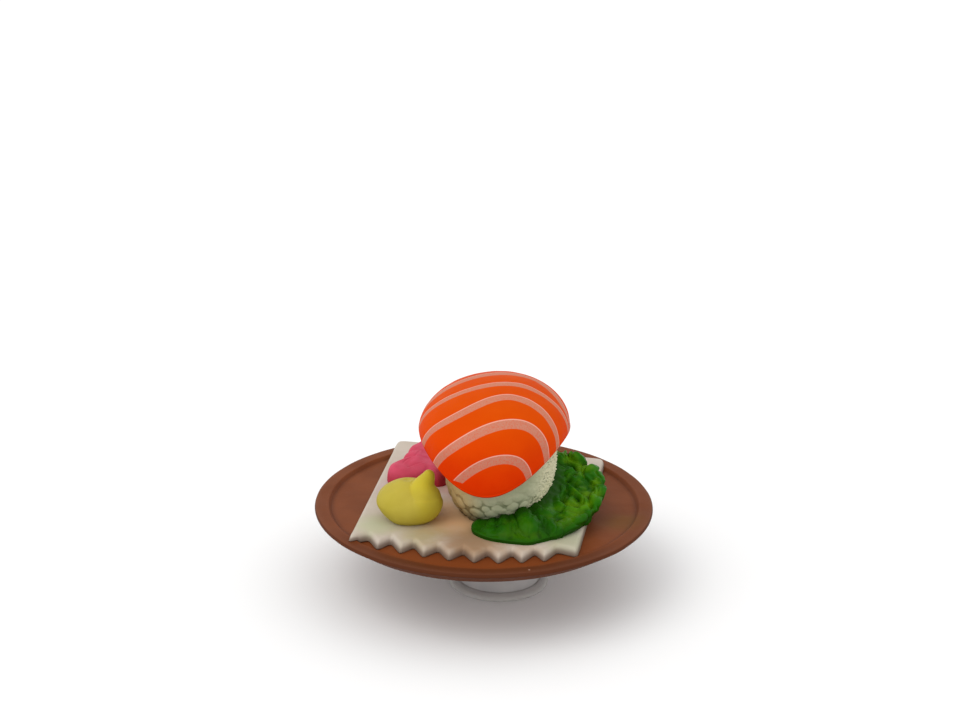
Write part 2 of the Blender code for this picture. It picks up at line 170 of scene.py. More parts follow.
def skin(name, rings, first, last, fields=None):
    """A closed mesh over rings (rows x around x 3, in mm), with a point to close each end.

    Where the last end is flat and has no point, one face closes it.
    fields are numbers for the ring points, kept as attributes that the materials read.
    """
    rings = np.asarray(rings, float)
    rows, around = rings.shape[:2]
    ends = [first] if last is None else [first, last]
    points = np.vstack([rings.reshape(-1, 3), *ends])
    index = np.arange(rows * around).reshape(rows, around)
    beside = np.roll(index, -1, axis=1)
    quads = np.stack([index[:-1], beside[:-1], beside[1:], index[1:]], -1).reshape(-1, 4)
    first_fan = np.stack([np.full(around, rows * around), beside[0], index[0]], 1)
    last_fan = np.stack([np.full(around, rows * around + 1), index[-1], beside[-1]], 1)
    if last is None:
        last_fan = index[-1:]
    if enclosed(points - points.mean(axis=0), quads) < 0:
        quads = quads[:, ::-1]
        first_fan = first_fan[:, ::-1]
        last_fan = last_fan[:, ::-1]
    corners = np.concatenate([quads.ravel(), first_fan.ravel(), last_fan.ravel()])
    sizes = np.repeat([4, 3, last_fan.shape[1]], [len(quads), around, len(last_fan)])
    starts = np.cumsum(sizes) - sizes
    mesh = bpy.data.meshes.new(name)
    mesh.vertices.add(len(points))
    mesh.vertices.foreach_set("co", (points * MM).astype(np.float32).ravel())
    mesh.loops.add(len(corners))
    mesh.loops.foreach_set("vertex_index", corners.astype(np.int32))
    mesh.polygons.add(len(starts))
    mesh.polygons.foreach_set("loop_start", starts.astype(np.int32))
    mesh.update(calc_edges=True)
    mesh.shade_smooth()
    for field, values in (fields or {}).items():
        values = np.broadcast_to(values, (rows, around))
        at_ends = [values[0].mean(), values[-1].mean()][: len(ends)]
        whole = np.concatenate([values.ravel(), at_ends])
        attribute = mesh.attributes.new(field, "FLOAT", "POINT")
        attribute.data.foreach_set("value", whole.astype(np.float32))
    print(name, "has", int((sizes - 2).sum()), "triangles")
    return new_object(name, mesh)


def dress(piece, node, material):
    """The piece stands for a node of the frame, in the frame's place and with its own finish."""
    piece.data.materials.append(material)
    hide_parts(node)
    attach(piece, "root")


# %% [markdown]
# ## Small helpers for uneven surfaces
# Moulded plastic is never perfectly even. A few formulas give all the relief here: an S-shaped
# step, a sum of many faint waves in random directions, and round-topped domes around scattered
# middles, drawn out into ovals as rice grains are. Two more join rounded forms and find their skin.

# %% Steps, ripples and domes
def smooth(low, high, value):
    """An S-shaped step: 0 below low, 1 above high, and 3t^2 - 2t^3 between them."""
    t = np.clip((value - low) / (high - low), 0.0, 1.0)
    return t * t * (3.0 - 2.0 * t)


def ripples(points, size, seed, waves=36):
    """A wandering value around 0: the sum of sine waves of about one size in random directions."""
    draw = np.random.default_rng(seed)
    total = np.zeros(points.shape[:-1])
    for _ in range(waves):
        direction = draw.normal(size=3)
        direction /= np.linalg.norm(direction)
        length = size * draw.uniform(0.7, 1.6)
        phase = draw.uniform(0.0, 2.0 * math.pi)
        total += np.sin(points @ direction * (2.0 * math.pi / length) + phase)
    return total / math.sqrt(waves / 2.0)


def domes(points, middles, radii, stretch, seed):
    """0 to 1: half-round domes around the middles, the highest dome winning at each point.

    Each dome is drawn out along its own random direction by the stretch.
    """
    draw = np.random.default_rng(seed)
    axes = draw.normal(size=middles.shape)
    axes /= np.linalg.norm(axes, axis=1)[:, None]
    flat = points.reshape(-1, 3)
    height = np.zeros(len(flat))
    for middle, axis, reach in zip(middles, axes, radii):
        near = np.abs(flat - middle).max(axis=1) < reach * stretch
        away = flat[near] - middle
        along = away @ axis
        squared = (away**2).sum(axis=1) + along**2 * (1.0 / stretch**2 - 1.0)
        dome = np.sqrt(np.clip(1.0 - squared / reach**2, 0.0, 1.0))
        height[near] = np.maximum(height[near], dome)
    return height.reshape(points.shape[:-1])


def evenly_on_ball(count):
    """Directions spread evenly over a ball, on a spiral that turns by the golden angle."""
    index = np.arange(count) + 0.5
    height = 1.0 - 2.0 * index / count
    angle = index * math.pi * (3.0 - math.sqrt(5.0))
    level = np.sqrt(1.0 - height**2)
    return np.stack([level * np.cos(angle), level * np.sin(angle), height], 1)


def soft_smaller(first, second, blend):
    """The smaller of two values, rounded off where they are within the blend of each other."""
    share = np.clip(0.5 + 0.5 * (second - first) / blend, 0.0, 1.0)
    return second + (first - second) * share - blend * share * (1.0 - share)


HALVINGS = 24


def along_rays(middle, directions, outside, far):
    """How far the surface lies from the middle in each direction, found by halving the way.

    outside gives values below 0 inside the shape and above 0 outside it.
    """
    near = np.zeros(directions.shape[:-1])
    beyond = np.full(directions.shape[:-1], far)
    for _ in range(HALVINGS):
        half = (near + beyond) / 2.0
        out = outside(middle + directions * half[..., None]) > 0.0
        beyond = np.where(out, half, beyond)
        near = np.where(out, near, half)
    return (near + beyond) / 2.0


print("a step at a quarter of its way:", smooth(0.0, 1.0, 0.25))

# %% [markdown]
# ## Paint effects
# Hand-painted plastic has effects that return on every piece: a slow drift between two tones, a
# fine grain and stray specks. Soft round tints serve for overspray, and also for painted shade and
# painted reflected colour from the pieces nearby. Each effect is a node group, built once
# and placed in a material with its own values. A group gives only a colour, a mask or a height.

# %% Node helpers
def feed(tree, socket, value):
    """A value for an input: another node's output is linked, and anything else is set."""
    if isinstance(value, bpy.types.NodeSocket):
        tree.links.new(value, socket)
    else:
        socket.default_value = value


def add_node(tree, kind, options, values):
    """A new node with its options set as properties, and its inputs fed with the values."""
    made = tree.nodes.new("ShaderNode" + kind)
    for option, value in options.items():
        setattr(made, option, value)
    for place, value in values.items():
        feed(tree, made.inputs[place], value)
    return made


def calculate(tree, operation, *values):
    """The result of one Math node."""
    return add_node(tree, "Math", {"operation": operation}, dict(enumerate(values))).outputs[0]


def step_between(tree, value, low, high):
    """A smooth step from 0 at low to 1 at high."""
    values = {"Value": value, "From Min": low, "From Max": high}
    made = add_node(tree, "MapRange", {"interpolation_type": "SMOOTHSTEP"}, values)
    return made.outputs["Result"]


def new_group(name, output, inputs, build):
    """A group that reads a place and its inputs, and gives the one value that build works out."""
    tree = bpy.data.node_groups.new(name, "ShaderNodeTree")
    tree.interface.new_socket("Where", in_out="INPUT", socket_type="NodeSocketVector")
    for label, default in inputs.items():
        kind = "NodeSocketFloat" if isinstance(default, float) else "NodeSocketVector"
        tree.interface.new_socket(label, in_out="INPUT", socket_type=kind).default_value = default
    tree.interface.new_socket(output, in_out="OUTPUT", socket_type="NodeSocketFloat")
    into, out = tree.nodes.new("NodeGroupInput"), tree.nodes.new("NodeGroupOutput")
    tree.links.new(build(tree, into.outputs), out.inputs[output])
    return tree


# %% [markdown]
# ## The four effects
# Drift is a soft noise with its middle range stretched. Grain is a finer noise, used as a height.
# Specks are the middles of a few cells, and a tint is the distance to a point with a torn edge.
# Painted image textures could hold all this, but formulas have no seams and stay sharp.

# %% Groups: drift, grain, specks and tint
def drift(tree, given):
    """A share from 0 to 1 that wanders slowly over the surface."""
    values = {"Vector": given["Where"], "Scale": given["Scale"]}
    values.update({"Detail": given["Detail"], "Roughness": 0.55})
    noise = add_node(tree, "TexNoise", {}, values)
    return step_between(tree, noise.outputs["Fac"], 0.32, 0.68)


def grain(tree, given):
    """A height for the fine unevenness of moulded and painted plastic."""
    values = {"Vector": given["Where"], "Scale": given["Scale"], "Detail": 4.0, "Roughness": 0.6}
    return add_node(tree, "TexNoise", {}, values).outputs["Fac"]


def specks(tree, given):
    """A mask of stray round specks: cells whose middle is near, and only some of the cells."""
    cells = add_node(tree, "TexVoronoi", {}, {"Vector": given["Where"], "Scale": given["Scale"]})
    split = add_node(tree, "SeparateColor", {}, {"Color": cells.outputs["Color"]})
    near = calculate(tree, "LESS_THAN", cells.outputs["Distance"], given["Size"])
    chosen = calculate(tree, "LESS_THAN", split.outputs["Red"], given["Share"])
    return calculate(tree, "MULTIPLY", near, chosen)


def tint(tree, given):
    """A soft round patch around a point, its edge broken by noise, for overspray and for painted
    shade and reflected colour.
    """
    ends = {0: given["Where"], 1: given["Centre"]}
    away = add_node(tree, "VectorMath", {"operation": "DISTANCE"}, ends)
    share = calculate(tree, "DIVIDE", away.outputs["Value"], given["Radius"])
    values = {"Vector": given["Where"], "Scale": 260.0, "Detail": 3.0}
    noise = add_node(tree, "TexNoise", {}, values).outputs["Fac"]
    wander = calculate(tree, "MULTIPLY_ADD", noise, 0.7, -0.35)
    return step_between(tree, calculate(tree, "ADD", share, wander), 1.0, 0.1)


DRIFT = new_group("drift", "Share", {"Scale": 200.0, "Detail": 3.0}, drift)
GRAIN = new_group("grain", "Height", {"Scale": 1800.0}, grain)
SPECKS = new_group("specks", "Mask", {"Scale": 500.0, "Size": 0.12, "Share": 0.1}, specks)
TINT = new_group("tint", "Mask", {"Centre": (0.0, 0.0, 0.0), "Radius": 0.005}, tint)
print("node groups:", [group.name for group in bpy.data.node_groups])


# %% [markdown]
# ## A finish in coats
# Each piece is painted as the toy was: a ground in two drifting tones, then one coat over the
# other. Some coats are painted shade and painted light, not the toy's own paint. A coat has a
# mask, a cover and a tone, and is one Mix node. The nodes could be placed by
# hand for each piece, but a small class keeps them at hand, so that a coat takes one line.

# %% A finish to start from
def colour(red, green, blue):
    """A paint colour from its 0 to 255 screen values, as the linear colour that a shader takes."""
    shares = np.array((red, green, blue)) / 255.0
    linear = np.where(shares <= 0.04045, shares / 12.92, ((shares + 0.055) / 1.055) ** 2.4)
    return (*(float(value) for value in linear), 1.0)


class Paint:
    """A finish in the making: two drifting tones, and then coats of paint over them in turn."""

    def __init__(self, piece, roughness, specular, tones, scale, detail=3.0):
        """The shader's own constants, then the two tones mixed by a drift of that scale."""
        self.material = bpy.data.materials.new(piece + "_plastic_finish")
        self.material.use_nodes = True
        self.tree = self.material.node_tree
        self.shader = self.tree.nodes["Principled BSDF"]
        self.shader.inputs["Roughness"].default_value = roughness
        self.shader.inputs["Specular IOR Level"].default_value = specular
        self.where = add_node(self.tree, "TexCoord", {}, {}).outputs["Object"]
        self.along = add_node(self.tree, "SeparateXYZ", {}, {"Vector": self.where}).outputs
        self.drift = self.group(DRIFT, "Share", {"Scale": scale, "Detail": detail})
        self.base = self.mix(self.drift, *tones)

    def group(self, group, output, values):
        """A group placed in the material, reading the object coordinates."""
        given = {"Where": self.where, **values}
        return add_node(self.tree, "Group", {"node_tree": group}, given).outputs[output]

    def specks(self, scale, size, share):
        """Stray round specks, in that share of the cells."""
        return self.group(SPECKS, "Mask", {"Scale": scale, "Size": size, "Share": share})

    def tint(self, centre, radius):
        """A soft patch around a point, both in mm, for overspray and for painted shade and
        reflected colour.
        """
        values = {"Centre": [value * MM for value in centre], "Radius": radius * MM}
        return self.group(TINT, "Mask", values)

    def around(self, spot, outer, inner):
        """A round spot: 0 past its outer radius and 1 within its inner one, all in mm."""
        ends = {0: self.where, 1: [value * MM for value in spot]}
        away = add_node(self.tree, "VectorMath", {"operation": "DISTANCE"}, ends)
        return self.step(away.outputs["Value"], outer * MM, inner * MM)

    def noise(self, scale, detail):
        """Even noise from 0 to 1."""
        values = {"Vector": self.where, "Scale": scale, "Detail": detail, "Roughness": 0.6}
        return add_node(self.tree, "TexNoise", {}, values).outputs["Fac"]

    def field(self, name):
        """The numbers that a skin carries under that name."""
        return add_node(self.tree, "Attribute", {"attribute_name": name}, {}).outputs["Fac"]

    def step(self, value, low, high):
        """A smooth step from 0 at low to 1 at high."""
        return step_between(self.tree, value, low, high)

    def past(self, axis, low, high):
        """0 at one place along an axis and 1 at another, both in mm."""
        return step_between(self.tree, self.along[axis], low * MM, high * MM)

    def calculate(self, operation, *values):
        """The result of one Math node."""
        return calculate(self.tree, operation, *values)

    def mix(self, share, first, second):
        """A mix of two tones, each a socket or a screen colour."""
        values = {0: share}
        for place, tone in ((6, first), (7, second)):
            values[place] = tone if isinstance(tone, bpy.types.NodeSocket) else colour(*tone)
        return add_node(self.tree, "Mix", {"data_type": "RGBA"}, values).outputs[2]

    def coat(self, mask, cover, tone):
        """Another tone over the base where the mask is, covering it by up to the cover."""
        self.base = self.mix(self.calculate("MULTIPLY", mask, cover), self.base, tone)

    def finish(self, scale, height_mm):
        """The material, with its base linked and the grain as a bump on the shader's normal."""
        height = self.group(GRAIN, "Height", {"Scale": scale})
        values = {"Distance": height_mm * MM, "Strength": 1.0, "Height": height}
        bump = add_node(self.tree, "Bump", {}, values)
        self.tree.links.new(bump.outputs["Normal"], self.shader.inputs["Normal"])
        self.tree.links.new(self.base, self.shader.inputs["Base Color"])
        return self.material


print("middle grey of the screen in linear light:", round(colour(128, 128, 128)[0], 3))

# %% [markdown]
# ## Stand
# The stand is a pale grey disc with a narrower stem, left unpainted. A lathe profile is the
# obvious way: (radius, height) pairs carried round the upright axis, with every edge rounded.

# %% The stand
FLANGE_RADIUS = 8.8
FLANGE_HEIGHT = 1.15
STEM_RADIUS = 7.25
STAND_ROUND = 0.3
STAND_SIDES = 160
DISH_BELLY = 7.6


def arc(radius, height, size, start, end, steps):
    """(radius, height) pairs on an arc between two angles in degrees, 0 pointing outward."""
    angle = np.radians(np.linspace(start, end, steps + 1))
    return np.stack([radius + size * np.cos(angle), height + size * np.sin(angle)], 1)


def turned(profile, centre, sides):
    """Rings of a lathe-turned skin: each pair carried round the upright axis at the centre."""
    profile = np.asarray(profile, float)
    angle = np.linspace(0.0, 2.0 * math.pi, sides, endpoint=False)
    x = centre[0] + profile[:, :1] * np.cos(angle)
    y = centre[1] + profile[:, :1] * np.sin(angle)
    return np.stack([x, y, np.broadcast_to(profile[:, 1:], x.shape)], -1)


def stand():
    """The profile: a flat base, a flange that rounds over to a crease, then the stem."""
    top = DISH_BELLY + 0.1
    over = np.radians(np.linspace(0.0, 88.0, 14))
    shoulder = FLANGE_RADIUS - STEM_RADIUS - 0.2
    flange_radius = FLANGE_RADIUS - shoulder + shoulder * np.cos(over)
    flange = np.stack([flange_radius, 0.5 + (FLANGE_HEIGHT - 0.42) * np.sin(over)], 1)
    profile = np.vstack([
        [(2.0, 0.0), (6.0, 0.0), (FLANGE_RADIUS - STAND_ROUND - 0.3, 0.0)],
        arc(FLANGE_RADIUS - STAND_ROUND, STAND_ROUND, STAND_ROUND, -90, 0, 6),
        flange,
        [(STEM_RADIUS + 0.1, FLANGE_HEIGHT + 0.02), (STEM_RADIUS + 0.03, FLANGE_HEIGHT + 0.06)],
        [(STEM_RADIUS, FLANGE_HEIGHT + 0.2), (STEM_RADIUS - 0.03, 4.0)],
        [(STEM_RADIUS - 0.1, top - 0.4), (STEM_RADIUS - 0.4, top), (3.0, top)],
    ])
    radius, height = profile.T
    # The crease mask, for painted shade where the flange meets the stem.
    crease = np.exp(-(((radius - STEM_RADIUS - 0.12) / 0.16) ** 2))
    crease *= (height > 0.8) & (height < FLANGE_HEIGHT + 0.4)
    rings = turned(profile, (0.0, 0.0), STAND_SIDES)
    return skin("stand_turned", rings, (0, 0, 0), (0, 0, top), {"crease": crease[:, None]})


def stand_finish():
    """Pale grey, duller on the flange, with painted shade in the crease and a few specks."""
    paint = Paint("stand", 0.45, 0.1, ((193, 190, 190), (203, 200, 199)), 260.0)
    paint.coat(paint.past("Z", 1.3, 1.0), 0.6, (176, 172, 166))
    # Painted shade in the crease between the flange and the stem.
    paint.coat(paint.field("crease"), 0.45, (120, 114, 108))
    paint.coat(paint.specks(700.0, 0.14, 0.04), 1.0, (140, 136, 130))
    return paint.finish(1500.0, 0.015)


dress(stand(), "stand", stand_finish())

# %% [markdown]
# ## Dish
# The dish is a shallow brown plate. Its lip stands proud of the floor, with a soft crease where
# the two meet, and a painted highlight runs greyer along the rim's rounded edge. Painted shade
# darkens the crease, the side and the underside. The profile is turned like the
# stand's, and a slow ripple keeps the lip from looking machined.

# %% The dish
DISH_CENTRE = np.array((-2.8, 1.2))
DISH_RADIUS = 30.09
DISH_TOP = 15.05
DISH_LIP = 2.6
DISH_RECESS = 0.6
DISH_BELLY_POWER = 2.2
DISH_EDGE_ROUND = 0.45
DISH_SLANT_IN = 3.6
DISH_SLANT_DOWN = 3.1
DISH_SIDES = 420
LIP_WAVE = 0.035
FLOOR_WAVE = 0.012


def dish_profile():
    """The dish's half section, from the middle of its underside round its rim to its floor."""
    edge = DISH_EDGE_ROUND
    floor = DISH_TOP - DISH_RECESS
    inner = DISH_RADIUS - DISH_LIP
    slant_radius = DISH_RADIUS - DISH_SLANT_IN
    radius = np.linspace(2.0, slant_radius, 26)
    rise = DISH_TOP - DISH_SLANT_DOWN - DISH_BELLY
    under = np.stack([radius, DISH_BELLY + rise * (radius / slant_radius) ** DISH_BELLY_POWER], 1)
    side_end = arc(DISH_RADIUS - edge, DISH_TOP - edge, edge, -45, 90, 12)
    side = np.linspace(under[-1], side_end[0], 8)[1:-1]
    lip_radius = np.linspace(DISH_RADIUS - edge - 0.3, inner + 0.45, 7)
    lip = np.stack([lip_radius, np.full(7, DISH_TOP)], 1)
    across = np.linspace(0.0, 1.0, 16)
    fall = DISH_RECESS * smooth(0.0, 1.0, across) ** 0.8
    step = np.stack([inner + 0.2 - 0.7 * across, DISH_TOP - fall], 1)
    plate = np.stack([np.linspace(inner - 1.2, 0.6, 40), np.full(40, floor)], 1)
    return np.vstack([under, side, side_end, lip, step, plate])


def dish():
    """The turned profile, uneven along its lip, with masks for its rim, crease, side and lip."""
    profile = dish_profile()
    radius, height = profile.T
    inner = DISH_RADIUS - DISH_LIP
    rings = turned(profile, DISH_CENTRE, DISH_SIDES)
    outer = smooth(24.0, 27.4, radius)[:, None]
    rings[..., 2] += np.minimum(LIP_WAVE * ripples(rings, 9.0, 11), 0.0) * outer
    rings[..., 2] += FLOOR_WAVE * ripples(rings, 3.0, 12) * (1 - outer)
    rings[..., 2] = np.minimum(rings[..., 2], DISH_TOP)
    along = np.concatenate([[0.0], np.cumsum(np.hypot(*np.diff(profile, axis=0).T))])
    # A painted highlight along the rim's rounded edge.
    rubbed = np.exp(-(((along - along[np.argmax(radius)]) / 0.9) ** 2))
    # The crease mask, for painted shade where the lip steps down to the floor.
    crease = np.exp(-(((radius - inner + 0.42) / 0.2) ** 2)) * (height > DISH_TOP - 0.8)
    # The side mask, for painted shade on the outer side and the underside.
    side = smooth(0.04, 0.16, DISH_TOP - height) * (radius > 28.6)
    side = np.maximum(side, 0.8 * (height < DISH_TOP - 1.0))
    lip = smooth(inner - 0.3, inner + 0.9, radius) * (height > DISH_TOP - 0.3)
    masks = {"rubbed": rubbed, "crease": crease, "side": side, "lip": lip}
    fields = {name: mask[:, None] for name, mask in masks.items()}
    under = (*DISH_CENTRE, DISH_BELLY)
    floor = (*DISH_CENTRE, DISH_TOP - DISH_RECESS)
    return skin("dish_turned", rings, under, floor, fields)


def dish_finish():
    """Brown, warmer in front, with a dark lip, painted shade on its side, underside and crease, a
    painted highlight along the rim and pale specks.
    """
    paint = Paint("dish", 0.5, 0.05, ((114, 61, 33), (126, 69, 38)), 90.0, 4.0)
    front = paint.past("Y", -8.0, -26.0)
    paint.coat(front, 0.8, (122, 61, 24))
    paint.coat(paint.field("lip"), paint.calculate("MULTIPLY_ADD", front, 0.62, 0.12), (74, 38, 20))
    # Painted highlight: greyer along the rim's rounded edge.
    paint.coat(paint.field("rubbed"), 0.35, (120, 80, 62))
    # Painted shade on the outer side and the underside.
    paint.coat(paint.field("side"), 0.85, (84, 44, 25))
    # Painted shade in the crease where the lip steps down to the floor.
    paint.coat(paint.field("crease"), 0.35, (66, 34, 22))
    paint.coat(paint.tint((21.5, -6.0, 14.5), 6.0), 0.35, (106, 80, 20))
    paint.coat(paint.specks(420.0, 0.07, 0.05), 0.5, (205, 170, 150))
    return paint.finish(1100.0, 0.02)


dress(dish(), "dish", dish_finish())

# %% [markdown]
# ## Sheet
# The sheet is an off-white square with eight pointed teeth along its front edge. Their walls are
# scooped and their tips soft, as a mould leaves them. The outline is a short list of corners and
# a zigzag rule, filled in with many points and softened, and set in by small steps to round the
# top edge. The flat top is one face. Its tints around a few points are partly overspray and partly
# painted shade and painted reflections of the nearby pieces' colours.

# %% The sheet
SHEET_BOTTOM = DISH_TOP - DISH_RECESS
SHEET_TOP = 16.1
SHEET_FRONT_LEFT = np.array((-26.15, -16.7))
SHEET_FRONT_RIGHT = np.array((13.2, -21.0))
SHEET_BACK_RIGHT = np.array((19.65, 19.4))
SHEET_BACK_LEFT = np.array((-19.2, 27.6))
SHEET_MIDDLE = np.array((-3.0, 2.0))
TEETH = 8
TOOTH_DEPTH = 3.3
FIRST_NOTCH = 0.083
LAST_NOTCH = 0.909
TEETH_DRIFT = 0.017
DRIFT_FROM = 0.34
DRIFT_SPAN = 0.56
NOTCH_IN = -0.54
TOOTH_OUT = 0.46
FRONT_BOW = 4.2
FRONT_BOW_SKEW = 1.25
FRONT_BOW_SINK = 1.15
POINTS_A_SIDE = 22
SOFTNESS = 18
CROWDING = 1.91
EVEN_HALF_SIDE = 1.8

# The sheet's wall: how far it is set in, in mm, and its share of the height
WALL = (
    (0.14, 0.0), (0.03, 0.05), (0.0, 0.12), (0.03, 0.24), (0.09, 0.36), (0.14, 0.48), (0.18, 0.6),
    (0.24, 0.71), (0.32, 0.8), (0.42, 0.88), (0.55, 0.945), (0.72, 0.985), (0.9, 1.0), (1.1, 1.0),
)

# Its tints, partly overspray and partly painted shade and painted reflections of the pieces nearby:
# middle and radius in mm, cover and colour
TINTS = (
    ((-3.0, -12.0), 17.0, 0.8, (184, 152, 118)),
    ((-7.5, -8.5), 10.0, 0.9, (240, 194, 144)),
    ((-6.0, -18.5), 8.5, 0.7, (146, 112, 78)),
    ((-21.5, -11.5), 6.0, 0.5, (176, 186, 140)),
    ((-13.5, -15.5), 7.0, 0.5, (166, 158, 102)),
    ((12.0, -16.5), 8.0, 0.45, (156, 170, 124)),
    ((17.5, -8.0), 6.0, 0.5, (140, 160, 106)),
    ((-18.5, 4.0), 6.0, 0.5, (198, 172, 174)),
    ((-8.0, 4.5), 6.0, 0.6, (188, 130, 124)),
)
TINT_HEIGHT = 16.0


def sheet_corners():
    """The corners, anticlockwise: the front zigzag follows a bowed line, half out and half in."""
    along = SHEET_FRONT_RIGHT - SHEET_FRONT_LEFT
    outward = np.array((along[1], -along[0])) / np.linalg.norm(along)
    count = 2 * TEETH + 1
    where = FIRST_NOTCH + np.arange(count) * (LAST_NOTCH - FIRST_NOTCH) / (count - 1)
    drifting = np.clip((where - DRIFT_FROM) / DRIFT_SPAN, 0.0, 1.0)
    where = where + TEETH_DRIFT * np.sin(math.pi * drifting)
    side = np.where(np.arange(count) % 2 == 0, NOTCH_IN, TOOTH_OUT)
    bow = FRONT_BOW * np.sin(math.pi * where**FRONT_BOW_SKEW) - FRONT_BOW_SINK
    zigzag = where[:, None] * along + (bow + side * TOOTH_DEPTH)[:, None] * outward
    zigzag += SHEET_FRONT_LEFT
    others = [SHEET_FRONT_RIGHT, SHEET_BACK_RIGHT, SHEET_BACK_LEFT]
    return np.vstack([SHEET_FRONT_LEFT, zigzag, *others])


def set_in(outline, distance):
    """Each corner moved along the two sides' normals so that both sides come in by the distance."""
    before = outline - np.roll(outline, 1, axis=0)
    after = np.roll(outline, -1, axis=0) - outline
    before /= np.linalg.norm(before, axis=1)[:, None]
    after /= np.linalg.norm(after, axis=1)[:, None]
    middle = np.stack([-before[:, 1] - after[:, 1], before[:, 0] + after[:, 0]], 1)
    reach = 2.0 / np.maximum((middle**2).sum(axis=1), 0.5)
    return outline + middle * reach[:, None] * distance


def softened(outline):
    """The outline filled in with equal counts of points a side, then blurred along itself.

    On long sides the points crowd towards both corners by a hyperbolic sine, so that every
    corner is rounded by about the same width in mm.
    """
    ahead = np.roll(outline, -1, axis=0)
    half = np.linalg.norm(ahead - outline, axis=1)[:, None] / 2.0
    crowd = np.maximum(CROWDING * np.log(half / EVEN_HALF_SIDE), 0.01)
    place = np.linspace(-1.0, 1.0, POINTS_A_SIDE, endpoint=False)[None, :]
    from_corner = np.sinh(crowd * (1.0 - np.abs(place))) / np.sinh(crowd)
    share = np.where(place < 0, from_corner / 2.0, 1.0 - from_corner / 2.0)
    dense = outline[:, None] + share[..., None] * (ahead - outline)[:, None]
    dense = dense.reshape(-1, 2)
    for _ in range(SOFTNESS):
        dense = (np.roll(dense, 1, axis=0) + 2.0 * dense + np.roll(dense, -1, axis=0)) / 4.0
    return dense


def sheet():
    """Rings up the wall. Where the sheet crosses the dish's lip, they start from the lip's top."""
    corners = sheet_corners()
    plans = np.stack([softened(set_in(corners, inset)) for inset, _ in WALL])
    upper = np.array([share for _, share in WALL])[:, None]
    from_dish = np.linalg.norm(plans - DISH_CENTRE, axis=-1)
    inner = DISH_RADIUS - DISH_LIP
    over_lip = smooth(inner - 0.5, inner + 0.1, from_dish)
    lip_line = SHEET_BOTTOM + (DISH_TOP - 0.02 - SHEET_BOTTOM) * over_lip
    height = lip_line + (SHEET_TOP - lip_line) * upper
    rings = np.concatenate([plans, height[..., None]], -1)
    middle = (*SHEET_MIDDLE, SHEET_BOTTOM)
    # depth runs down the wall, where painted shade darkens it
    return skin("sheet_toothed", rings, middle, None, {"depth": 1.0 - upper})


def sheet_finish():
    """Off-white with soft tints around points, partly overspray and partly painted shade and
    reflected colour, and painted shade down the wall.
    """
    paint = Paint("sheet", 0.6, 0.1, ((190, 178, 163), (199, 188, 175)), 120.0)
    # Tints: partly overspray, partly painted shade and painted reflections of the nearby pieces'
    # colours.
    for middle, radius, cover, tone in TINTS:
        paint.coat(paint.tint((*middle, TINT_HEIGHT), radius), cover, tone)
    # Painted shade down the teeth's walls, deepest at their foot.
    paint.coat(paint.step(paint.field("depth"), 0.2, 0.75), 0.8, (112, 92, 80))
    paint.coat(paint.specks(330.0, 0.06, 0.04), 0.6, (120, 96, 60))
    return paint.finish(1300.0, 0.015)


dress(sheet(), "sheet", sheet_finish())

# %% [markdown]
# ## Rice
# The rice is one moulded ball, longer from front to back, with its grains as low oval domes. Its
# right side is cast rougher, like pressed crumbs. Single grains could be scattered and joined,
# but on the toy they are relief in one skin, so they are raised from the ball here as well.

# %% The rice
TURN = math.radians(-7.1)
RICE_CENTRE = np.array((0.03, -3.19, 25.28))
RICE_HALF = np.array((9.7, 12.0, 12.1))
RICE_LEAN = 0.042
GRAIN_COUNT = 380
GRAIN_REACH = 1.06
GRAIN_STRETCH = 1.15
GRAIN_HEIGHT = 0.36
RICE_AROUND = 420
FINE_FROM = math.pi / 2 - 0.35
CRUMB_HEIGHT = 0.19
ON_SHEET = SHEET_TOP - 0.05

# Two red spots of paint on it: their middles, and where their edge starts and ends, in mm
SPOTS = ((3.0, -14.5, 21.2), (10.4, -5.2, 24.0))
SPOT_EDGE = (0.3, 0.22)


def turned_plan(x, y):
    """Plan offsets turned by the angle that the rice and the salmon share."""
    return x * math.cos(TURN) - y * math.sin(TURN), x * math.sin(TURN) + y * math.cos(TURN)


def rice_surface(azimuth, height, extra=0.0):
    """Points of an ellipsoid that leans to the right as it rises. Azimuth 0 is the front."""
    half = RICE_HALF + extra
    rise = height - RICE_CENTRE[2]
    width = np.sqrt(np.clip(1.0 - (rise / half[2]) ** 2, 0.0, 1.0))
    x, y = turned_plan(half[0] * np.sin(azimuth) * width, -half[1] * np.cos(azimuth) * width)
    return np.stack([RICE_CENTRE[0] + RICE_LEAN * rise + x, RICE_CENTRE[1] + y, height + 0 * x], -1)


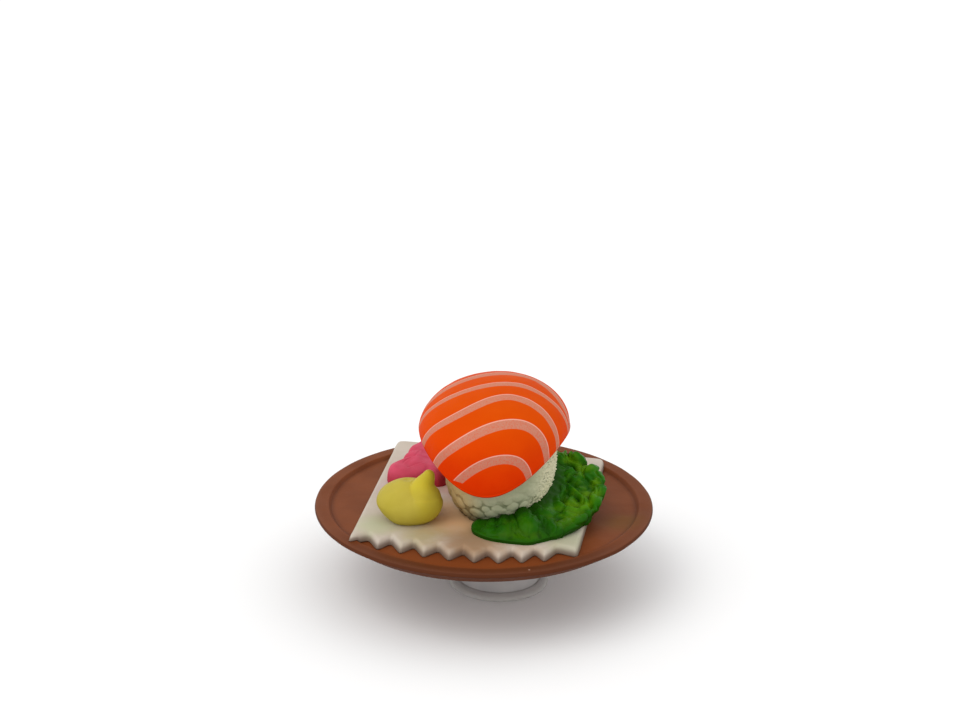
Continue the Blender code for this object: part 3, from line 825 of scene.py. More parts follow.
def rice():
    """An ellipsoid with domes that grow faint towards its top, and fine ripples on its right."""
    lowest = math.acos((ON_SHEET - RICE_CENTRE[2]) / RICE_HALF[2])
    polar = np.concatenate([
        np.linspace(0.06, FINE_FROM, 26, endpoint=False), np.linspace(FINE_FROM, lowest, 140),
    ])
    azimuth = np.linspace(0.0, 2.0 * math.pi, RICE_AROUND, endpoint=False)
    height = RICE_CENTRE[2] + RICE_HALF[2] * np.cos(polar)[:, None]
    rings = rice_surface(azimuth[None, :], height + 0 * azimuth[None, :])
    outward = (rings - RICE_CENTRE) / RICE_HALF**2
    outward /= np.linalg.norm(outward, axis=-1)[..., None]
    draw = np.random.default_rng(5)
    middles = evenly_on_ball(GRAIN_COUNT) + draw.normal(scale=0.03, size=(GRAIN_COUNT, 3))
    middles = RICE_CENTRE + middles * RICE_HALF
    reach = GRAIN_REACH * draw.uniform(0.8, 1.25, GRAIN_COUNT)
    relief = domes(rings, middles, reach, GRAIN_STRETCH, 6)
    faint = 0.35 + 0.65 * smooth(23.5, 20.0, rings[..., 2])
    crumbly = smooth(-1.0, 6.0, rings[..., 0]) * smooth(-14.0, -9.0, rings[..., 1])
    crumbs = ripples(rings, 0.8, 7) * 0.4 + ripples(rings, 0.42, 8) * 0.5
    rings += outward * ((relief - 0.2) * GRAIN_HEIGHT * faint * (1 - 0.5 * crumbly))[..., None]
    rings += outward * (crumbs * CRUMB_HEIGHT * crumbly + 0.02 * ripples(rings, 0.9, 9))[..., None]
    rings[..., 2] = np.maximum(rings[..., 2], ON_SHEET)
    top = RICE_CENTRE + np.array((RICE_LEAN * RICE_HALF[2], 0.0, RICE_HALF[2] + 0.1))
    # hollow marks the dips between grains and among the crumbs, where painted shade goes.
    hollow = (1 - relief) * faint * (1 - crumbly) + crumbly * smooth(0.2, -0.65, crumbs)
    fields = {"hollow": hollow, "crumbly": crumbly}
    return skin("rice_ball", rings, top, (*RICE_CENTRE[:2], ON_SHEET), fields)


def rice_finish():
    """Grey-green grains with painted shade in their hollows, paler crumbs, a warm left side and a
    dark foot, partly its own paint and partly painted shade.
    """
    paint = Paint("rice", 0.6, 0.1, ((164, 169, 136), (175, 179, 148)), 180.0)
    paler = paint.mix(paint.drift, (212, 208, 172), (220, 216, 184))
    paint.coat(paint.field("crumbly"), 1.0, paler)
    left = paint.past("X", -2.0, -8.0)
    paint.coat(left, 0.8, (194, 160, 104))
    shade = paint.mix(left, (92, 102, 70), (126, 98, 58))
    # Painted shade in the hollows between grains and crumbs.
    paint.coat(paint.step(paint.field("hollow"), 0.5, 0.95), 0.68, shade)
    # Darker towards the foot: partly the rice's own darker paint, partly painted shade under the
    # overhang.
    paint.coat(paint.past("Z", 20.5, 16.5), 0.75, (50, 46, 34))
    for spot in SPOTS:
        paint.coat(paint.around(spot, *SPOT_EDGE), 1.0, (190, 60, 20))
    return paint.finish(1500.0, 0.04)


dress(rice(), "rice", rice_finish())

# %% [markdown]
# ## Salmon
# The salmon is an orange cap, thick and smooth, whose ends hang lower than its sides. Pale bands
# of fat are painted on it with a grainy, half-covering paint and a firmer line along the far edge
# of each. The bands are drawn on a flat chart of the cap, as one would peel it and press it flat:
# each edge is a hump with its own peak, fall and reach. The skin carries the distance to the
# nearest band, and the material turns that into paint, so that the edges stay crisp.

# %% The salmon
SALMON_CENTRE = np.array((-1.1, -2.83, 31.0))
SALMON_HALF = np.array((13.24, 15.5, 8.8))
SALMON_ROLL = math.radians(-3.2)
SKIRT_SIDE = 9.5
SKIRT_END = 20.0
RIM_LEFT = 1.2
RIM_RIGHT = -0.3
RIM_FRONT = -6.9
RIM_BACK = -5.0
RIM_SPREAD = 1.1
LIP = 0.3
LEDGE = 0.9
CAVITY = 0.65
SALMON_AROUND = 420
CHART_DROP = 9.0
CAP_ROWS = 100
SKIRT_ROWS = 36
LIP_ROWS = 8
CAVITY_ROWS = 16
RIM_SAG = 0.06
SEAM_ABOVE = 0.42
SEAM_WIDTH = 0.16

# The bands: peak, its place, then the fall and the reach on its left and on its right, and width
BANDS = (
    (-1.39, 0.61, 0.54, 1.09, 1.30, 1.42, 0.19),
    (-0.74, 0.62, 0.54, 0.97, 0.62, 0.95, 0.17),
    (-0.305, 0.36, 0.42, 0.62, 0.75, 1.35, 0.125),
    (0.005, 0.45, 0.27, 0.72, 0.16, 0.80, 0.10),
    (0.42, 0.52, 0.37, 0.98, 0.36, 0.60, 0.15),
    (0.86, 0.42, 0.50, 0.98, 0.45, 0.80, 0.11),
    (1.30, 0.34, 0.50, 0.98, 0.50, 0.90, 0.12),
    (1.74, 0.26, 0.50, 0.90, 0.55, 0.90, 0.12),
)
FIRST_BAND_END = (-0.78, -1.915)
FIRST_BAND_CUT = (0.44, 0.9)


def salmon_rim(azimuth):
    """Local height of the cap's edge: high at the sides, sinking with the cosine's square."""
    spread = np.clip(RIM_SPREAD * azimuth, -math.pi / 2, math.pi / 2)
    behind = np.clip(RIM_SPREAD * (math.pi - np.abs(azimuth)), -math.pi / 2, math.pi / 2)
    side = (RIM_RIGHT + RIM_LEFT) / 2 + (RIM_RIGHT - RIM_LEFT) / 2 * np.sin(azimuth)
    return side + (RIM_FRONT - side) * np.cos(spread) ** 2 + (RIM_BACK - side) * np.cos(behind) ** 2


def salmon_point(azimuth, height):
    """The cap's outside: half an ellipsoid above, and below it a skirt as a second, deeper one."""
    skirt = SKIRT_SIDE + (SKIRT_END - SKIRT_SIDE) * np.cos(azimuth) ** 2
    depth = np.where(height >= 0.0, SALMON_HALF[2], skirt)
    width = np.sqrt(np.clip(1.0 - (height / depth) ** 2, 0.0, 1.0))
    x = SALMON_HALF[0] * np.sin(azimuth) * width
    y = -SALMON_HALF[1] * np.cos(azimuth) * width
    rolled_x = x * math.cos(SALMON_ROLL) + height * math.sin(SALMON_ROLL)
    rolled_z = -x * math.sin(SALMON_ROLL) + height * math.cos(SALMON_ROLL)
    turned_x, turned_y = turned_plan(rolled_x, y)
    return np.stack([turned_x, turned_y, rolled_z], -1) + SALMON_CENTRE


def hump(across, peak, place, left_fall, left_reach, right_fall, right_reach):
    """A peak that falls away on each side by its own amount, levelling off past its reach."""
    step = across - place
    reach = np.where(step < 0, left_reach, right_reach)
    fall = np.where(step < 0, left_fall, right_fall)
    bell = np.exp(-((step / reach) ** 2))
    slope = -fall * bell * 2.0 * step / reach**2
    return peak - fall * (1.0 - bell), slope


def band_fields(azimuth, height):
    """Distance to the nearest band (below 0 inside it), and the share of the way across it."""
    above = np.arccos(np.clip(height / SALMON_HALF[2], -1.0, 1.0))
    polar = np.where(height >= 0.0, above, math.pi / 2 - height / CHART_DROP)
    across = polar * np.sin(azimuth)
    up = -polar * np.cos(azimuth)
    nearest = np.full(across.shape, 9.0)
    share = np.zeros(across.shape)
    for number, (*shape, width) in enumerate(BANDS):
        line, slope = hump(across, *shape)
        below = (line - up) / np.sqrt(1.0 + slope**2)
        distance = np.abs(below - width / 2) - width / 2
        if number == 0:
            past_end = (FIRST_BAND_END[0] - across) * FIRST_BAND_CUT[0]
            past_end = past_end + (FIRST_BAND_END[1] - up) * FIRST_BAND_CUT[1]
            distance = np.maximum(distance, past_end)
        closer = distance < nearest
        nearest = np.where(closer, distance, nearest)
        share = np.where(closer, below / width, share)
    return nearest, share


def seam_line(above):
    """A thin line just above the cap's edge, where the mould's two halves met."""
    return np.exp(-(((above - SEAM_ABOVE) / SEAM_WIDTH) ** 2))


def salmon():
    """The outside down to the rim, a rounded lip, a ledge, then a hollow that clears the rice."""
    azimuth = np.linspace(-math.pi, math.pi, SALMON_AROUND, endpoint=False)
    rim = salmon_rim(azimuth)
    rim_polar = np.minimum(np.arccos(np.clip(rim / SALMON_HALF[2], -1.0, 1.0)), math.pi / 2)
    down = np.linspace(0.0, 1.0, CAP_ROWS + 1)[1:, None]
    skirt = np.linspace(0.0, 1.0, SKIRT_ROWS + 1)[1:, None]
    sagging = np.where(rim > 0.0, rim, rim * skirt) - RIM_SAG * skirt
    heights = np.vstack([SALMON_HALF[2] * np.cos(rim_polar * down), sagging])
    outside = salmon_point(azimuth[None, :], heights)
    edge = outside[-1]
    inward = SALMON_CENTRE[:2] - edge[:, :2]
    inward /= np.linalg.norm(inward, axis=1)[:, None]
    round_lip = np.radians(np.linspace(0.0, 90.0, LIP_ROWS + 1)[1:, None])
    ledge = np.array(((0.5,), (1.0,)))
    set_back = np.vstack([LIP * (1 - np.cos(round_lip)), LIP + (LEDGE - LIP) * ledge])
    drop = np.vstack([LIP * np.sin(round_lip), LIP * (1 - 0.4 * ledge)])
    lip_plan = edge[:, :2] + inward * set_back[..., None]
    lip = np.concatenate([lip_plan, (edge[:, 2] - drop)[..., None]], -1)
    hollow = RICE_HALF[2] + CAVITY
    start = np.arccos((edge[:, 2] + 0.9 - RICE_CENTRE[2]) / hollow)
    share = np.linspace(1.0, 0.08, CAVITY_ROWS)[:, None]
    inside = rice_surface(azimuth, RICE_CENTRE[2] + hollow * np.cos(start * share), CAVITY)
    rings = np.concatenate([outside, lip, inside])
    wander = 0.035 * ripples(outside, 8.0, 31) + 0.012 * ripples(outside, 2.6, 32)
    outward = outside - (SALMON_CENTRE - np.array((0.0, 0.0, 4.0)))
    outward /= np.linalg.norm(outward, axis=-1)[..., None]
    rings[: len(outside)] += outward * (np.minimum(wander, 0.02) - 0.05)[..., None]
    nearest, share = band_fields(azimuth[None, :], heights)
    rest = np.zeros((len(rings) - len(outside), SALMON_AROUND))
    fields = {
        "band_distance": np.vstack([nearest, rest + nearest[-1]]),
        "band_across": np.vstack([share, rest + share[-1]]),
        "seam": np.vstack([seam_line(heights - rim), rest + 0.2]),
        "underside": np.vstack([np.zeros_like(nearest), rest + 1.0]),
    }
    crown = rings[0].mean(axis=0)
    top = RICE_CENTRE + np.array((RICE_LEAN * RICE_HALF[2], 0.0, hollow))
    return skin("salmon_cap", rings, crown, top, fields)


def salmon_finish():
    """Orange, yellower on top as airbrushed paint and painted light, with thin grainy bands that
    each have a firmer far line, and painted shade underneath.
    """
    paint = Paint("salmon", 0.5, 0.02, ((224, 52, 0), (227, 60, 0)), 110.0)
    # Yellower towards the top: partly airbrushed paint, partly painted light where the top faces
    # the light.
    paint.coat(paint.past("Z", 25.0, 39.0), 1.0, paint.mix(paint.drift, (210, 72, 0), (214, 78, 2)))
    inside = paint.step(paint.field("band_distance"), 0.006, -0.006)
    line = paint.step(paint.field("band_across"), 0.14, 0.06)
    grainy = paint.step(paint.noise(4200.0, 2.0), 0.3, 0.62)
    thin = paint.calculate("MULTIPLY_ADD", grainy, 0.4, 0.5)
    cover = paint.calculate("MAXIMUM", thin, paint.calculate("MULTIPLY", line, 0.95))
    paint.coat(inside, cover, paint.mix(line, (196, 136, 114), (232, 174, 158)))
    paint.coat(paint.field("seam"), 0.16, (190, 40, 0))
    # Painted shade on the cap's underside, lip and ledge.
    paint.coat(paint.field("underside"), 0.6, (150, 40, 8))
    paint.coat(paint.specks(300.0, 0.05, 0.06), 0.5, (245, 130, 40))
    return paint.finish(1000.0, 0.015)


dress(salmon(), "salmon", salmon_finish())

# %% [markdown]
# ## Lettuce
# The lettuce is a thick crescent that leans on the rice from its front left to its back right.
# Next to the rice it is smooth, then it breaks into ruffles with sharp creases between them. A
# sculpted mesh would do, but a cross-section that changes with the angle about the rice keeps the
# whole leaf in one formula, with folded ripples and a few larger domes on top.

# %% The lettuce
LEAF_START = math.radians(-29.5)
LEAF_END = math.radians(146.0)
LEAF_SECTIONS = 480
LEAF_END_ROUND = math.radians(9.0)
LEAST_WIDTH = 1.2
VALLEY_DEPTH = 0.16
RUFFLE_HEIGHT = 0.6
RUFFLE_HEIGHT_BEHIND = 0.55
RUFFLE_LEVEL = 0.4

# The leaf by the angle about the rice: radius at its foot and at its rim, then the heights of
# its rim and of its edge beside the rice
LEAF_TABLE = np.array((
    (-29.5, 10.6, 10.6, 16.9, 17.1), (-22.8, 12.6, 12.6, 17.0, 17.5), (-10, 14.5, 14.5, 17.0, 18.0),
    (6, 15.9, 15.9, 16.9, 18.7), (17, 17.1, 17.1, 16.9, 19.1), (27, 16.6, 16.6, 17.0, 19.4),
    (38, 16.6, 16.7, 17.3, 19.8), (52, 16.6, 16.9, 17.9, 20.1), (70, 16.6, 17.4, 18.6, 20.4),
    (85, 16.5, 18.2, 19.5, 20.8), (95, 16.4, 18.3, 20.2, 21.3), (105, 16.2, 17.7, 20.9, 22.1),
    (115, 15.4, 16.8, 21.7, 23.4), (125, 14.3, 15.5, 22.4, 24.6), (135, 13.0, 14.0, 22.4, 24.6),
    (146, 11.6, 12.2, 21.5, 22.4),
))

# The larger lumps: angle about the rice in degrees, then radius, reach and height in mm
LUMPS = (
    (57, 14.4, 1.5, 0.5), (65, 16.6, 1.2, 0.4), (76, 16.8, 1.3, 0.4), (92.7, 17.4, 1.3, 0.4),
    (91.4, 14.4, 1.3, 0.6), (103, 13.4, 1.8, 0.9), (107.5, 16.6, 1.4, 0.5), (119, 15.2, 1.7, 0.7),
    (125.5, 13.2, 1.5, 0.6), (84, 12.9, 1.3, 0.5), (36, 15.8, 1.4, 0.3), (46, 15.2, 1.3, 0.4),
    (-9, 12.7, 1.3, 0.5), (4, 13.9, 1.7, 0.6), (19, 14.6, 1.8, 0.7), (29, 13.4, 1.4, 0.5),
)

# Scallops of the edge beside the rice: angle in degrees, half width in degrees, height in mm
SCALLOPS = (
    (-8.0, 3.5, 0.35), (3.0, 4.5, 0.7), (10.0, 3.5, 0.35), (21.0, 7.5, 1.15), (38.0, 5.0, 0.3),
)


def leaf_table(angle, column):
    """A column of the table at these angles, with the kinks between its rows blurred."""
    values = np.interp(np.degrees(angle[:, 0]), LEAF_TABLE[:, 0], LEAF_TABLE[:, column])
    soft = np.hanning(33)
    ends = np.pad(values, 16, mode="edge")
    return np.convolve(ends, soft / soft.sum(), mode="valid")[:, None]


def leaf_sections(angle):
    """Radius and height about the rice: a row for each angle, and columns round the section."""
    base = ON_SHEET
    foot, outer, crest, inner_top = (leaf_table(angle, column) for column in range(1, 5))
    for middle, half_width, height in SCALLOPS:
        offset = (np.degrees(angle) - middle) / half_width
        inner_top = inner_top + height * np.clip(1.0 - offset**2, 0.0, 1.0) ** 0.7
    from_end = np.minimum(angle - LEAF_START, LEAF_END - angle) / LEAF_END_ROUND
    end = np.sqrt(1.0 - (1.0 - np.clip(from_end, 0.0, 1.0)) ** 2)
    sunk = 0.35 + 0.65 * end
    inner_top = base + (inner_top - base) * sunk
    crest = base + (crest - base) * sunk
    direction = np.stack([np.sin(angle), -np.cos(angle)], -1)
    local = np.arctan2(direction[..., 0] / RICE_HALF[0], -direction[..., 1] / RICE_HALF[1]) - TURN
    share = np.linspace(0.0, 1.0, 20)
    inner_height = base + (inner_top - base) * share
    touch = rice_surface(local, inner_height, 0.1)[..., :2] - RICE_CENTRE[:2]
    inner = np.stack([(touch * direction).sum(axis=-1), inner_height], -1)
    gap_in = inner[:, -1:, 0]
    narrow = 0.12 + 0.88 * end
    foot = gap_in + np.maximum(foot - gap_in, LEAST_WIDTH) * narrow
    outer = gap_in + np.maximum(outer - gap_in, LEAST_WIDTH) * narrow
    t = np.linspace(0.0, 1.0, 80)[1:]
    radius = gap_in + (outer - gap_in) * t
    backward = smooth(0.4, 1.0, angle)
    falling = (1.0 - backward) * t**1.6 + backward * smooth(-0.25, 1.0, t)
    line = inner_top + (crest - inner_top) * falling
    valley = -VALLEY_DEPTH * (crest - base) * np.sin(math.pi * np.minimum(1.0, t * 1.15)) * backward
    top = np.stack([radius, np.maximum(base + 0.3, line + valley)], -1)
    s = np.linspace(0.0, 1.0, 26)[1:]
    edge_height = top[:, -1:, 1]
    rim_radius = outer + 0.35 * np.sin(math.pi * s) * (1.0 - s) + (foot - outer) * s
    rim = np.stack([rim_radius, base + (edge_height - base) * (1.0 - s) ** 0.8], -1)
    below = foot + (inner[:, :1, 0] - foot) * np.linspace(0.2, 0.8, 4)
    under = np.stack([below, np.full(below.shape, base)], -1)
    place = np.concatenate([0 * share, t, 1.0 + 0.6 * s, np.full(4, 2.0)])
    return np.concatenate([inner, top, rim, under], axis=1), end, place


def lump_relief(rings):
    """The larger lumps in mm: domes seen from above, the highest winning at each point."""
    relief = np.zeros(rings.shape[:2])
    for angle, radius, reach, height in LUMPS:
        turn = math.radians(angle)
        middle = RICE_CENTRE[:2] + radius * np.array((math.sin(turn), -math.cos(turn)))
        away = np.linalg.norm(rings[..., :2] - middle, axis=-1) / reach
        relief = np.maximum(relief, height * np.clip(1.0 - away**2, 0.0, 1.0) ** 0.6)
    return relief


def folded(points, size, seed):
    """0 to 1: uneven round-topped lumps with sharp creases, as |sin| of a wandering value."""
    return np.abs(np.sin(1.35 * ripples(points, size, seed, 18)))


def ruffles(rings):
    """Folded lumps of two sizes, on points that are pushed about so that no two look alike."""
    push = np.stack([ripples(rings, 5.0, seed) for seed in (44, 45, 46)], -1)
    moved = rings + 0.5 * push
    return 0.7 * folded(moved, 6.6, 47) + 0.3 * folded(moved, 3.4, 48)


def leaf():
    """The sections set round the rice, then pushed out along their normals by the relief."""
    angle = np.linspace(LEAF_START, LEAF_END, LEAF_SECTIONS)[:, None]
    sections, end, place = leaf_sections(angle)
    direction = np.stack([np.sin(angle), -np.cos(angle)], -1)
    plan = RICE_CENTRE[:2] + direction * sections[..., :1]
    rings = np.concatenate([plan, sections[..., 1:]], axis=-1)
    normal = np.cross(np.gradient(rings, axis=0), np.gradient(rings, axis=1))
    normal /= np.linalg.norm(normal, axis=-1)[..., None] + 1e-9
    middle_column = int(np.searchsorted(place, 0.5))
    normal *= np.sign(normal[LEAF_SECTIONS // 2, middle_column, 2])
    rows = np.broadcast_to(place, rings.shape[:2])
    backward = smooth(0.1, 0.9, angle)
    lumpy = smooth(0.08, 0.35, rows) * smooth(2.0, 1.6, rows) * end
    lumpy = lumpy * np.where(rows > 1.02, 0.1 + 0.5 * backward, 1.0) * (0.5 + 0.5 * backward)
    big = lump_relief(rings)
    small = ruffles(rings)
    ruffled = (RUFFLE_HEIGHT + RUFFLE_HEIGHT_BEHIND * backward) * (small - RUFFLE_LEVEL)
    relief = (0.9 * big + ruffled) * lumpy
    relief += 0.03 * ripples(rings, 1.4, 43) * end * (rows < 1.9)
    rings += normal * relief[..., None]
    rings[..., 2] = np.maximum(rings[..., 2], ON_SHEET)
    crest = np.clip(0.5 * big + small, 0.0, 1.0)
    fields = {"crest": 0.5 + (crest - 0.5) * np.minimum(lumpy * 1.5, 1.0), "place": rows}
    return skin("lettuce", rings, rings[0].mean(axis=0), rings[-1].mean(axis=0), fields)


def leaf_finish():
    """Dark green with yellow-green clouds, painted highlights on the crests, painted shade beside
    the rice, in the creases and down the rim, and darker towards the front.
    """
    paint = Paint("leaf", 0.4, 0.06, ((28, 84, 0), (42, 104, 0)), 230.0, 4.0)
    place, crest = paint.field("place"), paint.field("crest")
    band = paint.calculate("MULTIPLY", paint.step(place, 0.2, 0.4), paint.step(place, 1.05, 0.85))
    rightward = paint.calculate("MULTIPLY_ADD", paint.past("X", 3.0, 12.0), 0.65, 0.35)
    cloudy = paint.step(paint.noise(170.0, 3.0), 0.44, 0.62)
    yellow = paint.calculate("MULTIPLY", cloudy, band)
    paint.coat(paint.calculate("MULTIPLY", yellow, rightward), 0.85, (96, 142, 4))
    # Painted shade in the smooth band beside the rice, under the salmon's overhang.
    paint.coat(paint.step(place, 0.34, 0.04), 0.75, (26, 62, 2))
    # Painted highlights on the crests.
    paint.coat(paint.step(crest, 0.55, 0.95), 0.3, (40, 124, 10))
    # Painted shade in the creases between the lumps.
    paint.coat(paint.step(crest, 0.4, 0.1), 0.6, (20, 56, 0))
    # Painted shade down the rim, where it meets the sheet.
    paint.coat(paint.step(place, 1.0, 1.25), 0.5, (20, 58, 0))
    paint.coat(paint.past("Y", -9.0, -15.0), 0.4, (16, 56, 0))
    return paint.finish(1100.0, 0.04)


dress(leaf(), "leaf", leaf_finish())

# %% [markdown]
# ## Ginger
# The pickled ginger is one thick slab of folded pink slices, with a lobed outline and a nearly
# flat top that has faint creases where a fold ends. Separate folded leaves would look loose, so
# the outline is a blend of a few ovals, its edge rounds down steeply, and the creases are shallow
# grooves in the top.

# %% The ginger
GINGER_CENTRE = np.array((-14.6, 10.6))
GINGER_AROUND = 320
GINGER_TOP = 3.45
OVAL_BLEND = 0.12
CREASE_DEPTH = 0.09

# Ovals in the slab: middle from the ginger's centre, half length, half width and turn in degrees
OVALS = (
    (-1.0, -2.2, 4.75, 3.7, 14),
    (0.9, 1.7, 4.1, 2.0, 0),
    (0.9, 5.4, 4.3, 2.3, 50),
    (3.0, -2.7, 2.3, 2.9, 20),
    (3.0, 1.6, 2.6, 3.6, 10),
)

# Creases in its top: the two ends, from the ginger's centre
CREASES = (
    ((-2.9, -2.1), (1.0, 3.4)),
    ((-2.1, -3.7), (1.1, -1.5)),
)


def oval_share(x, y):
    """How far out a point lies in the blend of the ovals: below 1 is inside."""
    share = None
    for middle_x, middle_y, long_half, short_half, turn in OVALS:
        angle = math.radians(turn)
        along = (x - middle_x) * math.cos(angle) + (y - middle_y) * math.sin(angle)
        beside = -(x - middle_x) * math.sin(angle) + (y - middle_y) * math.cos(angle)
        out = np.sqrt((along / long_half) ** 2 + (beside / short_half) ** 2)
        share = out if share is None else soft_smaller(share, out, OVAL_BLEND)
    return share


def crease_depth(x, y):
    """Shallow grooves with a raised lip on one side, along the creases."""
    depth = np.zeros(np.shape(x))
    for start, end in CREASES:
        line = np.subtract(end, start)
        length = float(np.hypot(*line))
        along = ((x - start[0]) * line[0] + (y - start[1]) * line[1]) / length
        beside = ((x - start[0]) * line[1] - (y - start[1]) * line[0]) / length
        beside = beside + 0.25 * np.sin(along * 1.3)
        fade = smooth(-0.3, 0.8, along) * smooth(length + 0.6, length - 1.2, along)
        groove = np.exp(-((beside / 0.16) ** 2)) - 0.5 * np.exp(-(((beside - 0.4) / 0.3) ** 2))
        depth += CREASE_DEPTH * fade * groove
    return depth


def ginger_height(x, y):
    """A gently domed top, rounded down steeply near the edge, less the creases."""
    share = oval_share(x, y)
    top = GINGER_TOP + 0.09 * y - 0.04 * x + 0.22 * np.cos(x * 0.8 + y * 0.5)
    rise = top * np.clip(1.0 - share**6, 0.0, 1.0) ** 0.42
    return rise - crease_depth(x, y) * smooth(0.95, 0.75, share)


def ginger():
    """Rings at growing shares of the way out to the edge, closer together where it rounds down."""
    azimuth = np.linspace(0.0, 2.0 * math.pi, GINGER_AROUND, endpoint=False)
    outward = np.stack([np.cos(azimuth), np.sin(azimuth)], -1)
    reach = along_rays(np.zeros(2), outward, lambda p: oval_share(p[..., 0], p[..., 1]) - 1.0, 9.5)
    close = 1.0 - 0.1 * (1.0 - np.linspace(0.0, 1.0, 26)[1:]) ** 2
    share = np.concatenate([np.linspace(0.02, 0.9, 80), close])
    x = share[:, None] * reach * np.cos(azimuth)
    y = share[:, None] * reach * np.sin(azimuth)
    height = ginger_height(x, y)
    rings = np.stack([GINGER_CENTRE[0] + x, GINGER_CENTRE[1] + y, ON_SHEET + height], -1)
    rings[..., 2] += 0.04 * ripples(rings, 2.4, 51) * smooth(1.0, 2.5, height)
    rings[-1, :, 2] = ON_SHEET
    middle = (*GINGER_CENTRE, ON_SHEET + float(ginger_height(np.zeros(1), np.zeros(1))[0]))
    # depth grows down the edge, where painted shade reddens it.
    fields = {"depth": smooth(2.7, 0.6, height)}
    return skin("ginger_folds", rings, middle, (*GINGER_CENTRE, ON_SHEET), fields)


def ginger_finish():
    """Pink, with painted shade reddening it down its edge and towards its right end under the
    salmon.
    """
    paint = Paint("ginger", 0.55, 0.1, ((198, 68, 92), (206, 76, 102)), 210.0)
    # Painted shade down the slab's steep edge.
    paint.coat(paint.field("depth"), 0.6, (158, 36, 44))
    # Painted shade towards the right end, which lies under the salmon.
    paint.coat(paint.past("X", -12.8, -10.0), 0.7, (160, 36, 38))
    return paint.finish(900.0, 0.02)


dress(ginger(), "ginger", ginger_finish())

# %% [markdown]
# ## Dollop
# The dollop is a fat yellow bead with one pinched tip, which rises from its right side. A
# metaball would blend them all round, but here the crease beside the tip is sharp on the left and
# soft on the right. So the skin is found along rays from one inner point, as the edge of a
# flattened ball joined with a curved, widening tip, and the joint is softer on the right.

# %% The dollop
DOLLOP_MIDDLE = np.array((-15.85, -8.15, SHEET_TOP + 2.9))
DOLLOP_HALF = np.array((5.72, 5.4, 3.9))
DOLLOP_POWER = 2.08

# The tip's axis from its top to its foot, with a radius at each of its points
TIP = (
    (-12.4, -8.2, 24.0, 1.05), (-12.95, -8.7, 23.0, 1.55),
    (-13.4, -9.2, 22.0, 2.1), (-13.5, -9.9, 20.0, 3.2),
)
TIP_STEPS = 20
DIMPLE_PLACE = np.array((-0.2, 1.0))
DIMPLE_DEPTH = 0.3
DIMPLE_REACH = 0.8
CREASE_BLEND = 0.1
SOFT_BLEND = 1.3
DOLLOP_AROUND = 300


def bead_distance(points):
    """Roughly the distance to a flattened ball: its power sum less one, scaled to mm.

    The ball is tucked in towards its lower left, by up to 0.3 of its width.
    """
    offset = (points - DOLLOP_MIDDLE) / DOLLOP_HALF
    tuck = 0.3 * smooth(0.0, -1.0, offset[..., 0]) * smooth(0.1, -0.8, offset[..., 2])
    offset = offset * (1.0 + tuck[..., None] * np.array((1.0, 0.0, 0.0)))
    power = (np.abs(offset) ** DOLLOP_POWER).sum(axis=-1)
    return (power ** (1.0 / DOLLOP_POWER) - 1.0) * DOLLOP_HALF.min()


def tip_distance(points):
    """Distance to the tip's axis, less a radius that widens along it, on a cubic through TIP."""
    nearest = np.full(points.shape[:-1], 99.0)
    curve = np.polyfit(np.linspace(0.0, 1.0, len(TIP)), np.array(TIP), 3)
    line = (np.linspace(0.0, 1.0, TIP_STEPS)[:, None] ** np.arange(3, -1, -1)) @ curve
    for (*top, top_radius), (*foot, foot_radius) in zip(line[:-1], line[1:]):
        axis = np.subtract(top, foot)
        share = np.clip(((points - foot) @ axis) / (axis @ axis), 0.0, 1.0)
        away = np.linalg.norm(points - foot - share[..., None] * axis, axis=-1)
        nearest = np.minimum(nearest, away - foot_radius - (top_radius - foot_radius) * share)
    return nearest


def dollop_distance(points):
    """Below 0 inside the bead or the tip, with the joint blended more on the right."""
    rightward = (points[..., 0] - TIP[-1][0]) * 0.9 - (points[..., 1] - TIP[-1][1]) * 0.5
    blend = CREASE_BLEND + (SOFT_BLEND - CREASE_BLEND) * smooth(-1.0, 2.2, rightward)
    return soft_smaller(bead_distance(points), tip_distance(points), blend)


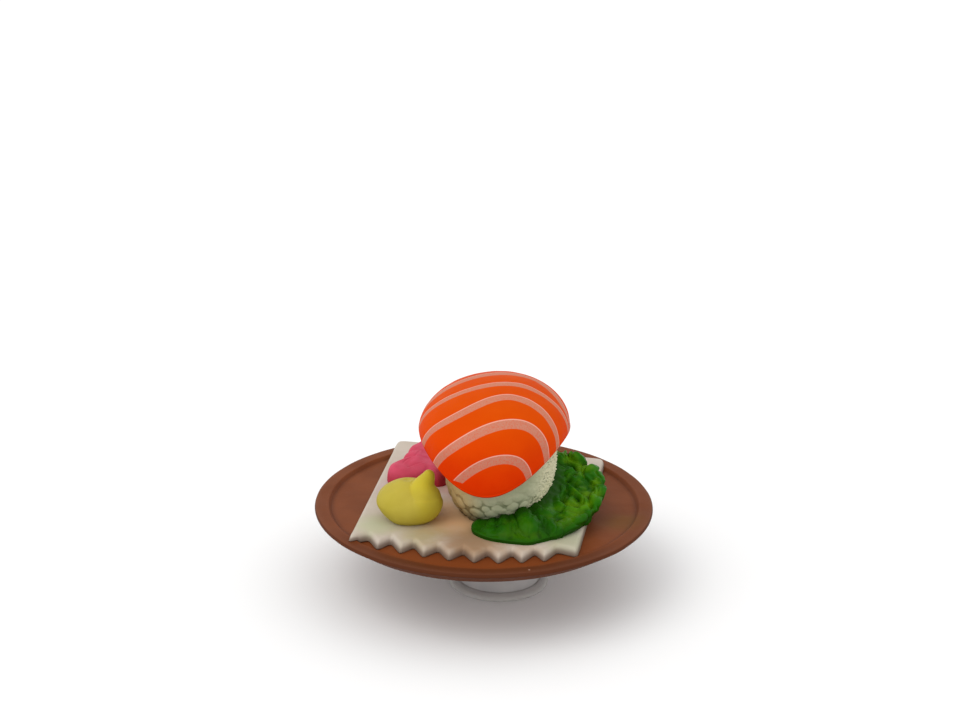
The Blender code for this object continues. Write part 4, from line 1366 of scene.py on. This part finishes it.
def dollop():
    """Rings about the line from the middle to the tip, with a dimple beside the tip."""
    axis = np.array(TIP[0][:3]) - DOLLOP_MIDDLE
    axis /= np.linalg.norm(axis)
    side = np.cross((0.0, 0.0, 1.0), axis)
    side /= np.linalg.norm(side)
    up = np.cross(axis, side)
    close = np.linspace(0.01, 0.6, 70, endpoint=False)
    theta = np.concatenate([close, np.linspace(0.6, math.pi - 0.02, 120)])[:, None]
    phi = np.linspace(0.0, 2.0 * math.pi, DOLLOP_AROUND, endpoint=False)[None, :]
    direction = (
        np.cos(theta)[..., None] * axis
        + (np.sin(theta) * np.cos(phi))[..., None] * side
        + (np.sin(theta) * np.sin(phi))[..., None] * up
    )
    radius = along_rays(DOLLOP_MIDDLE, direction, dollop_distance, 9.0)
    drop = (DOLLOP_MIDDLE[2] - ON_SHEET) / np.maximum(-direction[..., 2], 1e-6)
    radius = np.where(direction[..., 2] < 0, np.minimum(radius, drop), radius)
    rings = DOLLOP_MIDDLE + direction * radius[..., None]
    away = np.linalg.norm(rings[..., :2] - (DOLLOP_MIDDLE[:2] + DIMPLE_PLACE), axis=-1)
    dimple = DIMPLE_DEPTH * np.exp(-((away / DIMPLE_REACH) ** 2))
    rings[..., 2] -= dimple * (direction[..., 2] > 0.3)
    rings += direction * (0.03 * ripples(rings, 2.8, 61))[..., None]
    rings[..., 2] = np.maximum(rings[..., 2], ON_SHEET)
    tip = DOLLOP_MIDDLE + axis * float(radius[0].mean())
    low = DOLLOP_MIDDLE - axis * (DOLLOP_MIDDLE[2] - ON_SHEET) / axis[2]
    pinched = smooth(0.35, -0.05, tip_distance(rings) - bead_distance(rings))
    return skin("dollop_peak", rings, tip, low, {"pinched": pinched})


def dollop_finish():
    """Dull yellow, stronger on the right and the pinched tip, and painted light making it paler at
    the top.
    """
    paint = Paint("dollop", 0.5, 0.1, ((178, 162, 56), (186, 170, 66)), 170.0)
    right = paint.calculate("MAXIMUM", paint.past("X", -16.5, -11.5), paint.field("pinched"))
    paint.coat(right, 0.5, (188, 170, 40))
    # Painted light: paler towards the top and the tip.
    paint.coat(paint.past("Z", 21.8, 23.6), 0.6, (206, 190, 50))
    return paint.finish(800.0, 0.02)


dress(dollop(), "dollop", dollop_finish())
